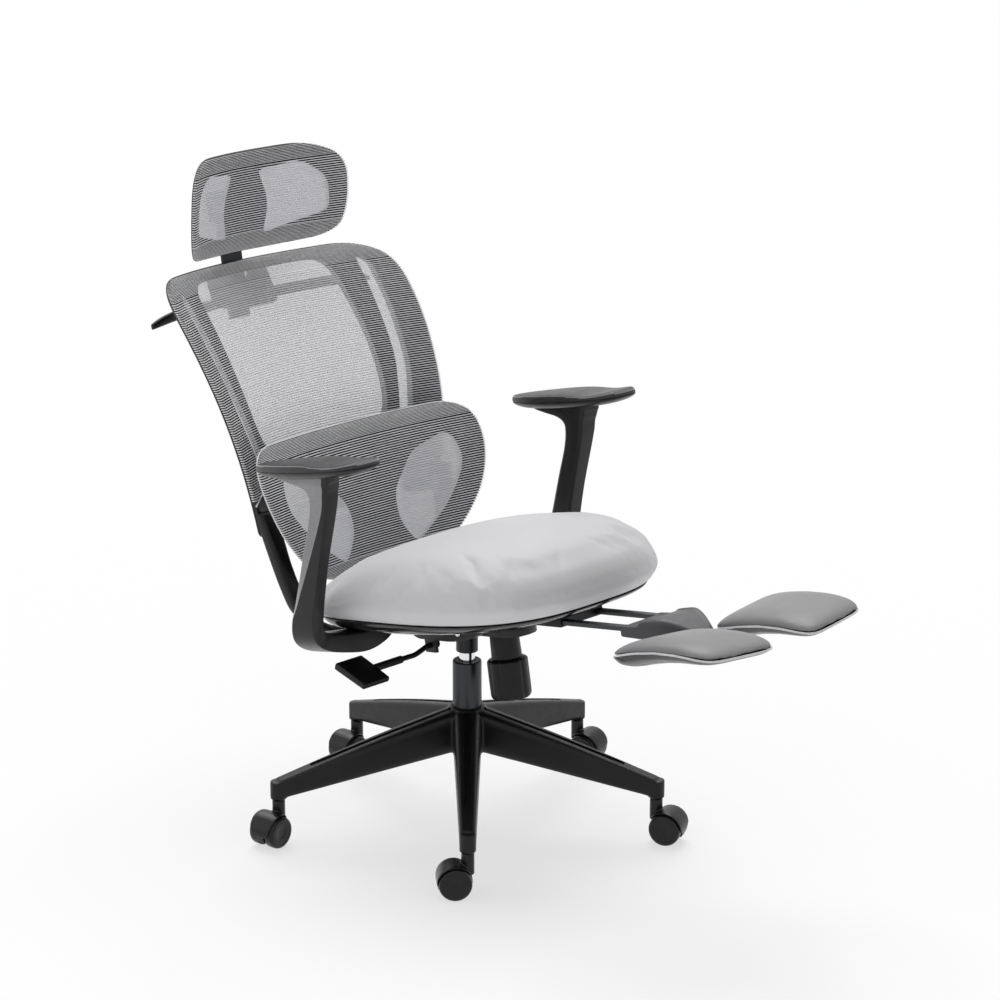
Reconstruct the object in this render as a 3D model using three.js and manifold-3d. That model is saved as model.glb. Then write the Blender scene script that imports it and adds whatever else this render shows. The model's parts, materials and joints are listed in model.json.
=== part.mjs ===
// Reclining office chair with a pull-out footrest, in millimetres.
// +Z is up, the sitter faces -Y, and the sitter's left hand is towards +X.
import * as THREE from "three";
import { mergeVertices } from "three/addons/utils/BufferGeometryUtils.js";
import Module from "manifold-3d";

const wasm = await Module();
wasm.setup();

// Driving dimensions
const stemCircle = 338.5; // column axis to each caster stem
const wheelRadius = 28;
const tubeRadius = 25; // outer tube of the gas lift
const seatHeight = 345; // floor to the underside of the mechanism, at the tilted frame's origin
const pistonShown = 54; // between the tube's mouth and that height
const tubeTop = seatHeight - pistonShown;
const seatForward = 40; // how far that origin lies in front of the column
const seatTilt = 10 * (Math.PI / 180); // everything above the column leans back by this
const seatHalfWidth = 231; // bottom edge of the cushion
const seatFront = 288;
const seatRear = 197;
const armSpread = 300; // middle of the chair to the middle of each arm
const backHalfWidth = 260;
const backTop = 645;
const lumbarInset = 6; // of its sides from the back's
const lumbarHalfWidth = backHalfWidth - lumbarInset;
const headHalfWidth = 177;
const gap = 0.3; // between neighbours that rest on or run in each other
const overrun = 2; // how far a cutting shape reaches past what it cuts
const weldDistance = 1e-4;
const mostOfEdgeShare = 0.48; // of an edge, for the rounding at each of its ends
const fineSides = 20; // of round solids, by their size
const mediumSides = 14;
const smallSides = 10;
const degree = Math.PI / 180;

// Solids

// A closed geometry as a solid, turned round if its faces point in.
function solid(geometry) {
  const loose = geometry.index ? geometry.toNonIndexed() : geometry;
  const bare = new THREE.BufferGeometry().setAttribute("position", loose.getAttribute("position"));
  const merged = mergeVertices(bare, weldDistance);
  const corners = merged.index.array;
  const kept = [];
  for (let i = 0; i < corners.length; i += 3) {
    const [a, b, c] = [corners[i], corners[i + 1], corners[i + 2]];
    if (a !== b && b !== c && c !== a) kept.push(a, b, c);
  }
  const vertProperties = merged.attributes.position.array;
  const triVerts = new Uint32Array(kept);
  const body = new wasm.Manifold(new wasm.Mesh({ numProp: 3, vertProperties, triVerts }));
  if (body.volume() > 0) return body;
  const turned = new Uint32Array(kept.reverse());
  return new wasm.Manifold(new wasm.Mesh({ numProp: 3, vertProperties, triVerts: turned }));
}

function geometryOf(body) {
  const mesh = body.getMesh();
  const geometry = new THREE.BufferGeometry();
  geometry.setAttribute("position", new THREE.BufferAttribute(mesh.vertProperties, 3));
  geometry.setIndex(new THREE.BufferAttribute(mesh.triVerts, 1));
  const flat = geometry.toNonIndexed();
  flat.computeVertexNormals();
  return flat;
}

function join(...geometries) {
  return geometryOf(geometries.map(solid).reduce((whole, piece) => whole.add(piece)));
}

function cut(geometry, ...tools) {
  return geometryOf(tools.map(solid).reduce((whole, tool) => whole.subtract(tool), solid(geometry)));
}

function common(first, second) {
  return geometryOf(solid(first).intersect(solid(second)));
}

// Shapes

const point = (x, y, z) => new THREE.Vector3(x, y, z);

// A block between two limits on each axis.
function block(across, along, upward) {
  const size = [across, along, upward].map(([low, high]) => high - low);
  const middle = [across, along, upward].map(([low, high]) => (low + high) / 2);
  return new THREE.BoxGeometry(...size).translate(...middle);
}

// A round bar between two points.
function bar(radius, from, to, sides = mediumSides) {
  const length = from.distanceTo(to);
  const turn = new THREE.Quaternion().setFromUnitVectors(point(0, 1, 0), to.clone().sub(from).normalize());
  const middle = from.clone().add(to).multiplyScalar(0.5);
  return new THREE.CylinderGeometry(radius, radius, length, sides).applyQuaternion(turn).translate(...middle);
}

// A profile of [radius, height] turned about the Z axis.
function turned(profile, sides = fineSides) {
  const points = profile.map(([radius, height]) => new THREE.Vector2(radius, height));
  return new THREE.LatheGeometry(points, sides).rotateX(Math.PI / 2);
}

// An outline through corners of [x, y, rounding], each rounded by its own amount as far as its edges allow.
function rounded(corners) {
  const shape = new THREE.Shape();
  const count = corners.length;
  for (let i = 0; i < count; i += 1) {
    const [x, y, rounding] = corners[i];
    const here = new THREE.Vector2(x, y);
    const neighbours = [corners[(i + count - 1) % count], corners[(i + 1) % count]];
    const [before, after] = neighbours.map(([farX, farY]) => {
      const edge = new THREE.Vector2(farX, farY).sub(here);
      return edge.setLength(Math.min(rounding, mostOfEdgeShare * edge.length())).add(here);
    });
    if (i === 0) shape.moveTo(before.x, before.y);
    else shape.lineTo(before.x, before.y);
    shape.quadraticCurveTo(here.x, here.y, after.x, after.y);
  }
  shape.closePath();
  return shape;
}

function mirrored(corners) {
  return corners.map(([x, ...rest]) => [-x, ...rest]).reverse();
}

// An outline seen along Z, raised to a thickness.
function plate(shape, low, high, curveSegments = 4) {
  const options = { depth: high - low, bevelEnabled: false, curveSegments };
  return new THREE.ExtrudeGeometry(shape, options).translate(0, 0, low);
}

// An outline of [y, z] corners seen along X, carried across from one x to another.
function sidePlate(shape, low, high, curveSegments = 4) {
  const upright = plate(shape, low, high, curveSegments);
  return upright.rotateY(Math.PI / 2).rotateX(Math.PI / 2);
}

// A superellipse round a centre, on two half axes.
function ring(centre, first, second, exponent, count) {
  const grown = (value) => Math.sign(value) * Math.abs(value) ** (2 / exponent);
  return Array.from({ length: count }, (_, i) => {
    const turn = (2 * Math.PI * i) / count;
    return centre
      .clone()
      .addScaledVector(first, grown(Math.cos(turn)))
      .addScaledVector(second, grown(Math.sin(turn)));
  });
}

// A closed body through rings of points, with flat or fanned ends.
function loft(rings) {
  const count = rings[0].length;
  const points = rings.flat();
  const faces = [];
  for (let r = 0; r + 1 < rings.length; r += 1) {
    for (let i = 0; i < count; i += 1) {
      const a = r * count + i;
      const b = r * count + ((i + 1) % count);
      faces.push(a, b, b + count, a, b + count, a + count);
    }
  }
  const ends = [0, (rings.length - 1) * count];
  ends.forEach((start, end) => {
    const centre = new THREE.Vector3();
    for (let i = 0; i < count; i += 1) centre.addScaledVector(points[start + i], 1 / count);
    points.push(centre);
    for (let i = 0; i < count; i += 1) {
      const a = start + i;
      const b = start + ((i + 1) % count);
      if (end === 0) faces.push(b, a, points.length - 1);
      else faces.push(a, b, points.length - 1);
    }
  });
  const geometry = new THREE.BufferGeometry().setFromPoints(points);
  geometry.setIndex(faces);
  return geometry.toNonIndexed();
}

// A sheet that follows a surface y = front(x, z), from one offset of it to another,
// within an outline of x and z and round its openings. All sheets of one surface share its facets.
function curvedPlate(surface, near, far, outline, openings = [], curveSegments = 4) {
  const { front, halfWidth, low, high, columns, rows } = surface;
  const limits = new THREE.Box2(new THREE.Vector2(-halfWidth, low), new THREE.Vector2(halfWidth, high));
  limits.expandByScalar(overrun);
  const across = limits.max.x - limits.min.x;
  const upward = limits.max.y - limits.min.y;
  const points = [];
  for (const offset of [near, far]) {
    for (let row = 0; row <= rows; row += 1) {
      for (let column = 0; column <= columns; column += 1) {
        const x = limits.min.x + (across * column) / columns;
        const z = limits.min.y + (upward * row) / rows;
        points.push(point(x, front(x, z) + offset, z));
      }
    }
  }
  const at = (side, column, row) => (side * (rows + 1) + row) * (columns + 1) + column;
  const faces = [];
  const quad = (a, b, c, d) => faces.push(a, b, c, a, c, d);
  for (let row = 0; row < rows; row += 1) {
    for (let column = 0; column < columns; column += 1) {
      quad(at(0, column, row), at(0, column + 1, row), at(0, column + 1, row + 1), at(0, column, row + 1));
      quad(at(1, column, row), at(1, column, row + 1), at(1, column + 1, row + 1), at(1, column + 1, row));
    }
    quad(at(0, 0, row), at(0, 0, row + 1), at(1, 0, row + 1), at(1, 0, row));
    quad(at(0, columns, row), at(1, columns, row), at(1, columns, row + 1), at(0, columns, row + 1));
  }
  for (let column = 0; column < columns; column += 1) {
    quad(at(0, column, 0), at(1, column, 0), at(1, column + 1, 0), at(0, column + 1, 0));
    quad(at(0, column, rows), at(0, column + 1, rows), at(1, column + 1, rows), at(1, column, rows));
  }
  const slab = new THREE.BufferGeometry().setFromPoints(points);
  slab.setIndex(faces);
  const box = new THREE.Box3().setFromPoints(points);
  const rim = outline.getPoints(curveSegments);
  const shape = new THREE.Shape(THREE.ShapeUtils.isClockWise(rim) ? rim.reverse() : rim);
  for (const opening of openings) shape.holes.push(new THREE.Path(opening.getPoints(curveSegments)));
  const prism = plate(shape, 0, box.max.y - box.min.y + 2 * overrun).rotateX(Math.PI / 2);
  return common(slab.toNonIndexed(), prism.translate(0, box.max.y + overrun, 0));
}

// Corners of [x share, z share, rounding share] set out on a half width and between two heights.
function setOut(shares, halfWidth, low, high) {
  return shares.map(([x, z, rounding]) => [x * halfWidth, low + z * (high - low), rounding * halfWidth]);
}

// Scene

const chair = new THREE.Group();

function finish(color, roughness, metalness = 0) {
  return new THREE.MeshStandardMaterial({ color, roughness, metalness });
}

function add(parent, name, geometry, material) {
  const mesh = new THREE.Mesh(geometryOf(solid(geometry)), material);
  mesh.name = name;
  parent.add(mesh);
}

// A group that turns or slides at a pivot, while what it holds keeps its parent's coordinates.
function movingGroup(parent, pivot) {
  const mover = new THREE.Group();
  mover.position.copy(pivot);
  parent.add(mover);
  const held = new THREE.Group();
  held.position.copy(pivot).negate();
  mover.add(held);
  return held;
}

// Star base
const hubRadius = 37;
const hubBottom = 128;
const hubTop = 196;
const collarRadius = 31.5;
const collarTop = 209;
const legRootRadius = 26;
const legRootTop = 205;
const legTipTop = 114;
const legRootBottom = 130;
const legTipBottom = 80;
const legRootWidth = 50;
const legTipWidth = 28;
const legWall = 4;
const grooveWidth = 10;
const grooveDepth = 2.5;
const grooveEndRadius = 7;
const stemSeatHeight = 78; // underside of the leg's end, where the caster's collar stops
const stemRadius = 5.5;
const stemTop = 104;
const stemBlockRadius = 14;
const legStationShares = [0, 0.2, 0.4, 0.7, 0.96]; // of the way from the root to the stem circle
const grooveEndShare = 0.83;
const legCount = 5;
const legExponent = 5;
const legPoints = 8;
const firstLegAngle = -134 * degree;

function legStation(share) {
  const radius = legRootRadius + share * (stemCircle - legRootRadius);
  const top = legRootTop + share * (legTipTop - legRootTop);
  const bottom = legRootBottom + share * (legTipBottom - legRootBottom);
  const halfWidth = (legRootWidth + share * (legTipWidth - legRootWidth)) / 2;
  return { radius, top, bottom, halfWidth };
}

function leg() {
  const outer = legStationShares.map((share) => {
    const { radius, top, bottom, halfWidth } = legStation(share);
    const centre = point(radius, 0, (top + bottom) / 2);
    return ring(centre, point(0, halfWidth, 0), point(0, 0, (top - bottom) / 2), legExponent, legPoints);
  });
  const blockTop = legTipTop - legWall;
  const blockFoot = point(stemCircle, 0, stemSeatHeight);
  const stemBlock = bar(stemBlockRadius, blockFoot, point(stemCircle, 0, blockTop));
  return join(loft(outer), stemBlock);
}

// The hollow that the leg has underneath, open towards the floor.
function legHollow() {
  const shares = legStationShares.slice(1, -1);
  const inner = shares.map((share) => {
    const { radius, top, bottom, halfWidth } = legStation(share);
    const low = bottom - legWall;
    const high = top - 2 * legWall;
    const centre = point(radius, 0, (high + low) / 2);
    const across = point(0, halfWidth - legWall, 0);
    return ring(centre, across, point(0, 0, (high - low) / 2), legExponent, legPoints);
  });
  return loft(inner);
}

function legGroove() {
  const rise = legTipTop - legRootTop;
  const run = stemCircle - legRootRadius;
  const slope = Math.atan2(rise, run);
  const start = collarRadius - legRootRadius;
  const end = grooveEndShare * run;
  const half = grooveWidth / 2;
  const swell = grooveEndRadius;
  const outline = new THREE.Shape();
  outline.moveTo(start, -half);
  outline.lineTo(end - 4 * swell, -half);
  outline.quadraticCurveTo(end - swell, -swell, end, -swell);
  outline.absarc(end, 0, swell, -Math.PI / 2, Math.PI / 2);
  outline.quadraticCurveTo(end - swell, swell, end - 4 * swell, half);
  outline.lineTo(start, half);
  outline.closePath();
  const tool = plate(outline, -grooveDepth, legWall, 3);
  return tool.rotateY(-slope).translate(legRootRadius, 0, legRootTop);
}

function star() {
  const hub = turned([
    [0, hubBottom],
    [hubRadius, hubBottom],
    [hubRadius, hubTop - legWall],
    [hubRadius - legWall, hubTop],
    [collarRadius, hubTop + legWall],
    [collarRadius, collarTop],
    [0, collarTop],
  ]);
  const legs = [];
  const tubeFrom = point(0, 0, hubBottom - overrun);
  const tools = [bar(tubeRadius + 2 * gap, tubeFrom, point(0, 0, collarTop + overrun), fineSides)];
  for (let i = 0; i < legCount; i += 1) {
    const angle = firstLegAngle + (i * 2 * Math.PI) / legCount;
    const stemFrom = point(stemCircle, 0, stemSeatHeight - overrun);
    const stemBore = bar(stemRadius + gap, stemFrom, point(stemCircle, 0, stemTop + gap), smallSides);
    legs.push(leg().rotateZ(angle));
    tools.push(legHollow().rotateZ(angle), legGroove().rotateZ(angle), stemBore.rotateZ(angle));
  }
  return cut(join(hub, ...legs), ...tools);
}

const nylon = finish(0x17181a, 0.45);
add(chair, "base_star", star(), nylon);

// Casters
const casterTrail = 22;
const casterTurns = [-85, 67, 60, -45, -38].map((turn) => firstLegAngle + turn * degree);
const wheelSides = 16;
const wheelInnerFace = 8.3; // from the caster's middle plane
const wheelOuterFace = 26;
const wheelEdgeRounding = 5;
const wheelDishRadius = 19;
const wheelDishDepth = 2.5;
const casterAxleRadius = 4;
const hoodHalfWidth = wheelInnerFace - gap;
const hoodRadius = 25;
const hoodFoot = 15; // lowest point of the hood above the floor
const casterCollarRadius = 11;

function wheel(side) {
  // The flats of the many-sided rim lie on the rolling radius, so that the wheel stands on one of them.
  const rim = wheelRadius / Math.cos(Math.PI / wheelSides);
  const profile = [
    [0, wheelInnerFace],
    [rim - wheelEdgeRounding / 2, wheelInnerFace],
    [rim, wheelInnerFace + wheelEdgeRounding / 2],
    [rim, wheelOuterFace - wheelEdgeRounding],
    [rim - wheelEdgeRounding, wheelOuterFace],
    [wheelDishRadius, wheelOuterFace],
    [wheelDishRadius - wheelDishDepth, wheelOuterFace - wheelDishDepth],
    [0, wheelOuterFace - wheelDishDepth],
  ];
  const disc = turned(profile, wheelSides).rotateZ(Math.PI / wheelSides);
  return disc.rotateX(side * (Math.PI / 2));
}

function casterWheels() {
  const reach = wheelInnerFace + gap;
  const axle = bar(casterAxleRadius, point(0, -reach, 0), point(0, reach, 0), smallSides);
  return join(wheel(-1), wheel(1), axle);
}

function casterHood() {
  const centre = (y) => point(casterTrail, y, wheelRadius);
  const disc = bar(hoodRadius, centre(-hoodHalfWidth), centre(hoodHalfWidth), fineSides);
  const collarFrom = point(0, 0, wheelRadius + hoodRadius / 2);
  const collar = bar(casterCollarRadius, collarFrom, point(0, 0, stemSeatHeight - gap));
  const stem = bar(stemRadius, point(0, 0, wheelRadius), point(0, 0, stemTop), smallSides);
  const reach = hoodRadius + casterTrail;
  const foot = block([-reach, 2 * reach], [-reach, reach], [-reach, hoodFoot]);
  const bore = bar(casterAxleRadius + gap, centre(-reach), centre(reach), smallSides);
  const wheelRoom = [-1, 1].map((side) => {
    const limits = [side * (wheelInnerFace - gap), side * reach].sort((a, b) => a - b);
    return block([-reach, 2 * reach], limits, [-overrun, wheelRadius + hoodRadius]);
  });
  return cut(join(disc, collar, stem), foot, bore, ...wheelRoom);
}

const casterBlack = finish(0x141416, 0.5);
for (let i = 0; i < legCount; i += 1) {
  const angle = firstLegAngle + (i * 2 * Math.PI) / legCount;
  const swivel = new THREE.Group();
  swivel.position.set(stemCircle * Math.cos(angle), stemCircle * Math.sin(angle), 0);
  swivel.rotation.z = casterTurns[i];
  const roller = new THREE.Group();
  roller.position.set(casterTrail, 0, wheelRadius);
  add(swivel, `caster_hood_${i + 1}`, casterHood(), nylon);
  add(roller, `caster_wheels_${i + 1}`, casterWheels(), casterBlack);
  swivel.add(roller);
  chair.add(swivel);
}

// Gas lift
const tubeBottom = 118;
const tubeFloor = 3;
const tubeWall = 2;
const tubeMouthDepth = 24;
const pistonRadius = 14;
const pistonBottom = 136;
const pistonTop = seatHeight;

function gasTube() {
  return turned([
    [0, tubeBottom],
    [tubeRadius, tubeBottom],
    [tubeRadius, tubeTop - tubeWall / 2],
    [tubeRadius - tubeWall / 2, tubeTop],
    [tubeRadius - tubeWall, tubeTop],
    [tubeRadius - tubeWall, tubeTop - tubeMouthDepth],
    [pistonRadius + 2 * gap, tubeTop - tubeMouthDepth],
    [pistonRadius + 2 * gap, tubeBottom + tubeFloor],
    [0, tubeBottom + tubeFloor],
  ]);
}

add(chair, "gas_tube", gasTube(), finish(0x202124, 0.4, 0.6));

const lift = new THREE.Group();
chair.add(lift);
const chrome = finish(0xd8dadd, 0.12, 1);
const piston = bar(pistonRadius, point(0, 0, pistonBottom), point(0, 0, pistonTop), fineSides);
add(lift, "gas_piston", piston, chrome);

// What swivels on the piston
const column = new THREE.Group();
lift.add(column);

// The tilted frame: its Y runs back along the seat, its Z square to the seat.
const seat = new THREE.Group();
seat.position.set(0, -seatForward, seatHeight);
seat.rotation.x = -seatTilt;
column.add(seat);
seat.updateMatrix();
const intoColumn = (geometry) => geometry.applyMatrix4(seat.matrix);

const socketRadius = 19;
const socketReach = 37; // down the piston from its top
const socketBottom = pistonTop - socketReach;
const socketHalfWidth = 35;
const socketFront = -9;
const socketRear = 62;
const socketLow = 5;
const socketHigh = 25;
const tiltAxleY = 0;
const tiltAxleZ = 19;
const tiltAxleRadius = 7;
const housingHalfWidth = 56;
const housingWall = 6;
const axleHalfLength = housingHalfWidth + housingWall / 2;

function acrossBar(radius, halfLength, y, z, sides = mediumSides) {
  return bar(radius, point(-halfLength, y, z), point(halfLength, y, z), sides);
}

function mechSocket() {
  const cup = bar(socketRadius, point(0, 0, socketBottom), point(0, 0, pistonTop + housingWall), fineSides);
  const armWidth = [-socketHalfWidth, socketHalfWidth];
  const armBlock = block(armWidth, [socketFront, socketRear], [socketLow, socketHigh]);
  const arm = intoColumn(armBlock);
  const boreFrom = point(0, 0, socketBottom - overrun);
  const bore = bar(pistonRadius + 2 * gap, boreFrom, point(0, 0, pistonTop + gap), fineSides);
  const axleBore = intoColumn(acrossBar(tiltAxleRadius + gap, axleHalfLength, tiltAxleY, tiltAxleZ));
  return cut(join(cup, arm), bore, axleBore);
}

const darkSteel = finish(0x1b1c1f, 0.45, 0.5);
const pinSteel = finish(0x8a8c90, 0.3, 1);
add(column, "mech_socket", mechSocket(), darkSteel);
const tiltAxle = acrossBar(tiltAxleRadius, axleHalfLength, tiltAxleY, tiltAxleZ);
add(column, "tilt_axle", intoColumn(tiltAxle), pinSteel);

// Tilt housing
const housingTop = 45.5;
const housingRoof = 9; // thickness of its top plate
const housingRear = 130;
const housingFront = 84;
const housingHollowFront = -18;
const flangeHalfWidth = 100;
const flangeThickness = 4;
const flangeFront = -20;
const flangeRear = 120;
const tongueFront = -114;
const tongueLow = 10;
const tongueHigh = 24;
const tongueHalfWidth = 36;
const knobY = -52;
const boltRadius = 5;
const boltTop = 30;
const reclinePinY = 112;
const reclinePinZ = 22;
const reclinePinRadius = 5;
const leverY = 75;
const leverZ = -9;
const leverRodRadius = 4.5;
const leverPlay = 0.8; // round the rod in its lug
const leverLugHalf = 13;
const knobCollarRadius = 26;
const knobCollarTaper = 1;
const knobCollarBore = 18;
const knobCollarBottom = -35;
const knobCapRadius = 35;
const knobCapBottom = -104;
const knobFlutes = 10;
const knobFluteDepthShare = 0.05;
const knobFlutePoints = 4; // points for each flute
const springRadius = 14;
const knobTop = tongueLow - gap;
const housingSideShares = [
  // [share of the length from the front, share of the height, rounding share of the height]
  [0, 1, 0],
  [0.1, 0.5, 0.2],
  [0.3, 0.12, 0.3],
  [0.5, 0, 0.3],
  [0.88, 0, 0.2],
  [1, 0.3, 0.2],
  [1, 1, 0],
];

function tiltHousing() {
  const length = housingFront + housingRear;
  const side = housingSideShares.map(([y, z, rounding]) => [
    y * length - housingFront,
    z * housingTop,
    rounding * housingTop,
  ]);
  const shell = sidePlate(rounded(side), -housingHalfWidth, housingHalfWidth);
  const flangeHeight = [housingTop - flangeThickness, housingTop];
  const flange = block([-flangeHalfWidth, flangeHalfWidth], [flangeFront, flangeRear], flangeHeight);
  const half = tongueHalfWidth;
  const tongueOutline = rounded([
    [-half, tongueFront, half],
    [half, tongueFront, half],
    [half, housingHollowFront, 0],
    [-half, housingHollowFront, 0],
  ]);
  const tongue = plate(tongueOutline, tongueLow, tongueHigh);
  const lug = block(
    [-housingHalfWidth, -housingHalfWidth + housingWall],
    [leverY - leverLugHalf, leverY + leverLugHalf],
    [leverZ - leverLugHalf, housingWall],
  );
  const inside = housingHalfWidth - housingWall;
  const hollowLength = [housingHollowFront, housingRear + overrun];
  const hollow = block([-inside, inside], hollowLength, [-housingTop, housingTop - housingRoof]);
  const axleHole = acrossBar(tiltAxleRadius + gap, axleHalfLength + overrun, tiltAxleY, tiltAxleZ);
  const pinHole = acrossBar(reclinePinRadius + gap, axleHalfLength + overrun, reclinePinY, reclinePinZ);
  const boltHole = bar(boltRadius + gap, point(0, knobY, -overrun), point(0, knobY, boltTop + gap));
  const leverHole = bar(
    leverRodRadius + leverPlay,
    point(-housingHalfWidth - overrun, leverY, leverZ),
    point(-inside + overrun, leverY, leverZ),
  );
  const knobRoom = knobCollarRadius + 4 * gap;
  const knobSeat = bar(knobRoom, point(0, knobY, knobCollarBottom), point(0, knobY, tongueLow), fineSides);
  return cut(join(shell, flange, tongue, lug), hollow, axleHole, pinHole, boltHole, leverHole, knobSeat);
}

add(seat, "tilt_housing", tiltHousing(), finish(0x26272a, 0.5, 0.3));

// Tension knob, with its collar and spring
function knobCollar() {
  const profile = [
    [knobCollarBore, knobCollarBottom],
    [knobCollarRadius + gap, knobCollarBottom],
    [knobCollarRadius - knobCollarTaper, knobTop],
    [knobCollarBore, knobTop],
    [knobCollarBore, knobCollarBottom],
  ];
  return turned(profile).translate(0, knobY, 0);
}

function tensionKnob() {
  const count = knobFlutes * knobFlutePoints;
  const outline = Array.from({ length: count }, (_, i) => {
    const angle = (2 * Math.PI * i) / count;
    const swell = Math.abs(Math.cos((angle * knobFlutes) / 2));
    const radius = knobCapRadius * (1 - knobFluteDepthShare * (1 - swell) ** 2);
    return new THREE.Vector2(radius * Math.cos(angle), radius * Math.sin(angle));
  });
  const cap = plate(new THREE.Shape(outline), knobCapBottom, knobCollarBottom - gap);
  const bolt = bar(boltRadius, point(0, 0, knobCapBottom / 2), point(0, 0, boltTop));
  return join(cap, bolt).translate(0, knobY, 0);
}

function tensionSpring() {
  const inner = boltRadius + gap;
  const profile = [
    [inner, knobCollarBottom],
    [springRadius, knobCollarBottom],
    [springRadius, knobTop],
    [inner, knobTop],
    [inner, knobCollarBottom],
  ];
  return turned(profile).translate(0, knobY, 0);
}

add(seat, "knob_collar", knobCollar(), nylon);
add(seat, "tension_spring", tensionSpring(), darkSteel);
const knobGroup = movingGroup(seat, point(0, knobY, 0));
add(knobGroup, "tension_knob", tensionKnob(), nylon);

// Control lever
const leverDrop = 8;
const rodSideX = -62;
const rodBendX = -92;
const sleeveStart = -126;
const sleeveEnd = -186;
const sleeveRadius = 6.5;
const rodEnd = -150;
const rodHeadX = -44;
const rodHeadRadius = 8;
const rodHeadThickness = 4;
const paddleLength = 58;
const paddleDepth = 76;
const paddleThickness = 14;
const paddlePitch = 24 * degree;
const leverLow = leverZ - leverDrop;
const rodSides = 6;
const rodSteps = 12;

function circleShape(radius, sides) {
  const points = Array.from({ length: sides }, (_, i) => {
    const angle = (2 * Math.PI * i) / sides;
    return new THREE.Vector2(radius * Math.cos(angle), radius * Math.sin(angle));
  });
  return new THREE.Shape(points);
}

function leverRod() {
  const route = new THREE.CatmullRomCurve3([
    point(rodHeadX, leverY, leverZ),
    point(rodSideX, leverY, leverZ),
    point(rodBendX, leverY, leverLow + gap),
    point((rodBendX + sleeveStart) / 2, leverY, leverLow),
    point(sleeveStart, leverY, leverLow),
    point(rodEnd, leverY, leverLow),
  ]);
  const options = { extrudePath: route, steps: rodSteps, bevelEnabled: false };
  const rod = new THREE.ExtrudeGeometry(circleShape(leverRodRadius, rodSides), options);
  const headEnd = point(rodHeadX + rodHeadThickness, leverY, leverZ);
  const head = bar(rodHeadRadius, point(rodHeadX, leverY, leverZ), headEnd);
  return join(rod, head);
}

function leverSleeve() {
  const grip = bar(sleeveRadius, point(sleeveStart, leverY, leverLow), point(sleeveEnd, leverY, leverLow));
  const boreFrom = point(sleeveStart + overrun, leverY, leverLow);
  const bore = bar(leverRodRadius + 2 * gap, boreFrom, point(rodEnd - gap, leverY, leverLow));
  return cut(grip, bore);
}

function leverPaddle() {
  const halfDepth = paddleDepth / 2;
  const halfThickness = paddleThickness / 2;
  const side = rounded([
    [-halfDepth, -halfThickness, halfThickness],
    [halfDepth, -halfThickness, halfThickness],
    [halfDepth, halfThickness, halfThickness],
    [-halfDepth, halfThickness / 2, halfThickness / 2],
  ]);
  const paddle = sidePlate(side, -paddleLength / 2, paddleLength / 2).rotateX(paddlePitch);
  return paddle.translate(sleeveEnd - gap - paddleLength / 2, leverY, leverLow);
}

const leverGroup = movingGroup(seat, point(-housingHalfWidth, leverY, leverZ));
add(leverGroup, "lever_rod", leverRod(), finish(0x101113, 0.35, 0.6));
add(leverGroup, "lever_sleeve", leverSleeve(), finish(0x0f1012, 0.6));
add(leverGroup, "lever_paddle", leverPaddle(), finish(0x0f1012, 0.35));

// Seat pan, board and cushion
const panTop = 75;
const panBottom = 45.8;
const panWall = 4;
const railRoom = 60.5; // height of the channel for the footrest rails
const railRoomHalfWidth = 62;
const railRoomRear = 145;
const boardThickness = 9;
const boardInset = 20;
const cushionBottom = panTop + gap;
const cushionCrown = 174;
const cushionBulge = 25; // how far the sides stand out past the bottom edge
const seatWidest = 60; // where the seat is widest, behind the tilted frame's origin
const frontExponent = 2.45;
const rearExponent = 4;
const rearDropShare = 0.42;
const rearBulgeShare = 0.33; // of the bulge of the sides
const seatPoints = 28;
const panShares = [
  // [height share from the bottom to the top, share of the outline's size]
  [0, 0.78],
  [0.12, 0.84],
  [0.42, 0.94],
  [0.75, 0.985],
  [1, 1],
];
const cushionShares = [
  // [height share from the bottom to the crown, how far out as a share of the bulge, share of the outline]
  [0, 0, 1],
  [0.1, 0.5, 1],
  [0.24, 0.88, 1],
  [0.4, 1, 1],
  [0.56, 0.72, 1],
  [0.72, 0, 1],
  [0.86, 0, 0.84],
  [0.95, 0, 0.58],
  [1, 0, 0.26],
];

// A ring of the seat's outline at one height, grown by a distance and then scaled about its widest line.
function seatRing(z, growth, share, count = seatPoints) {
  return Array.from({ length: count }, (_, i) => {
    const turn = (2 * Math.PI * i) / count;
    const across = Math.cos(turn);
    const along = Math.sin(turn);
    const exponent = along > 0 ? rearExponent : frontExponent;
    const grown = (value) => Math.sign(value) * Math.abs(value) ** (2 / exponent);
    const bulge = along > 0 && growth > 0 ? rearBulgeShare * growth : growth;
    const reach = (along > 0 ? seatRear - seatWidest : seatFront + seatWidest) + bulge;
    const x = share * (seatHalfWidth + growth) * grown(across);
    return point(x, seatWidest + share * reach * grown(along), z);
  });
}

function panSolid(inset) {
  return loft(panShares.map(([height, share]) => {
    const z = panBottom + inset + height * (panTop - panBottom);
    return seatRing(z, -inset, share);
  }));
}

function seatPan() {
  const reach = seatFront + seatRear;
  const channel = block([-railRoomHalfWidth, railRoomHalfWidth], [-reach, railRoomRear], [-panTop, railRoom]);
  const wall = railRoomHalfWidth + panWall;
  const roof = block([-wall, wall], [-reach, railRoomRear + panWall], [-panTop, railRoom + panWall]);
  const shell = cut(panSolid(0), cut(panSolid(panWall), roof));
  return cut(shell, channel);
}

function seatBoard() {
  return loft([panTop - boardThickness, panTop].map((z) => seatRing(z, -boardInset, 1)));
}

function seatCushion() {
  const rings = cushionShares.map(([height, out, share]) => {
    const level = cushionBottom + height * (cushionCrown - cushionBottom);
    return seatRing(level, out * cushionBulge, share).map((spot) => {
      const back = Math.max(0, spot.y / seatRear);
      const lift = (level - cushionBottom) * (1 - rearDropShare * back ** 2);
      return point(spot.x, spot.y, cushionBottom + lift);
    });
  });
  return loft(rings);
}

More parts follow.
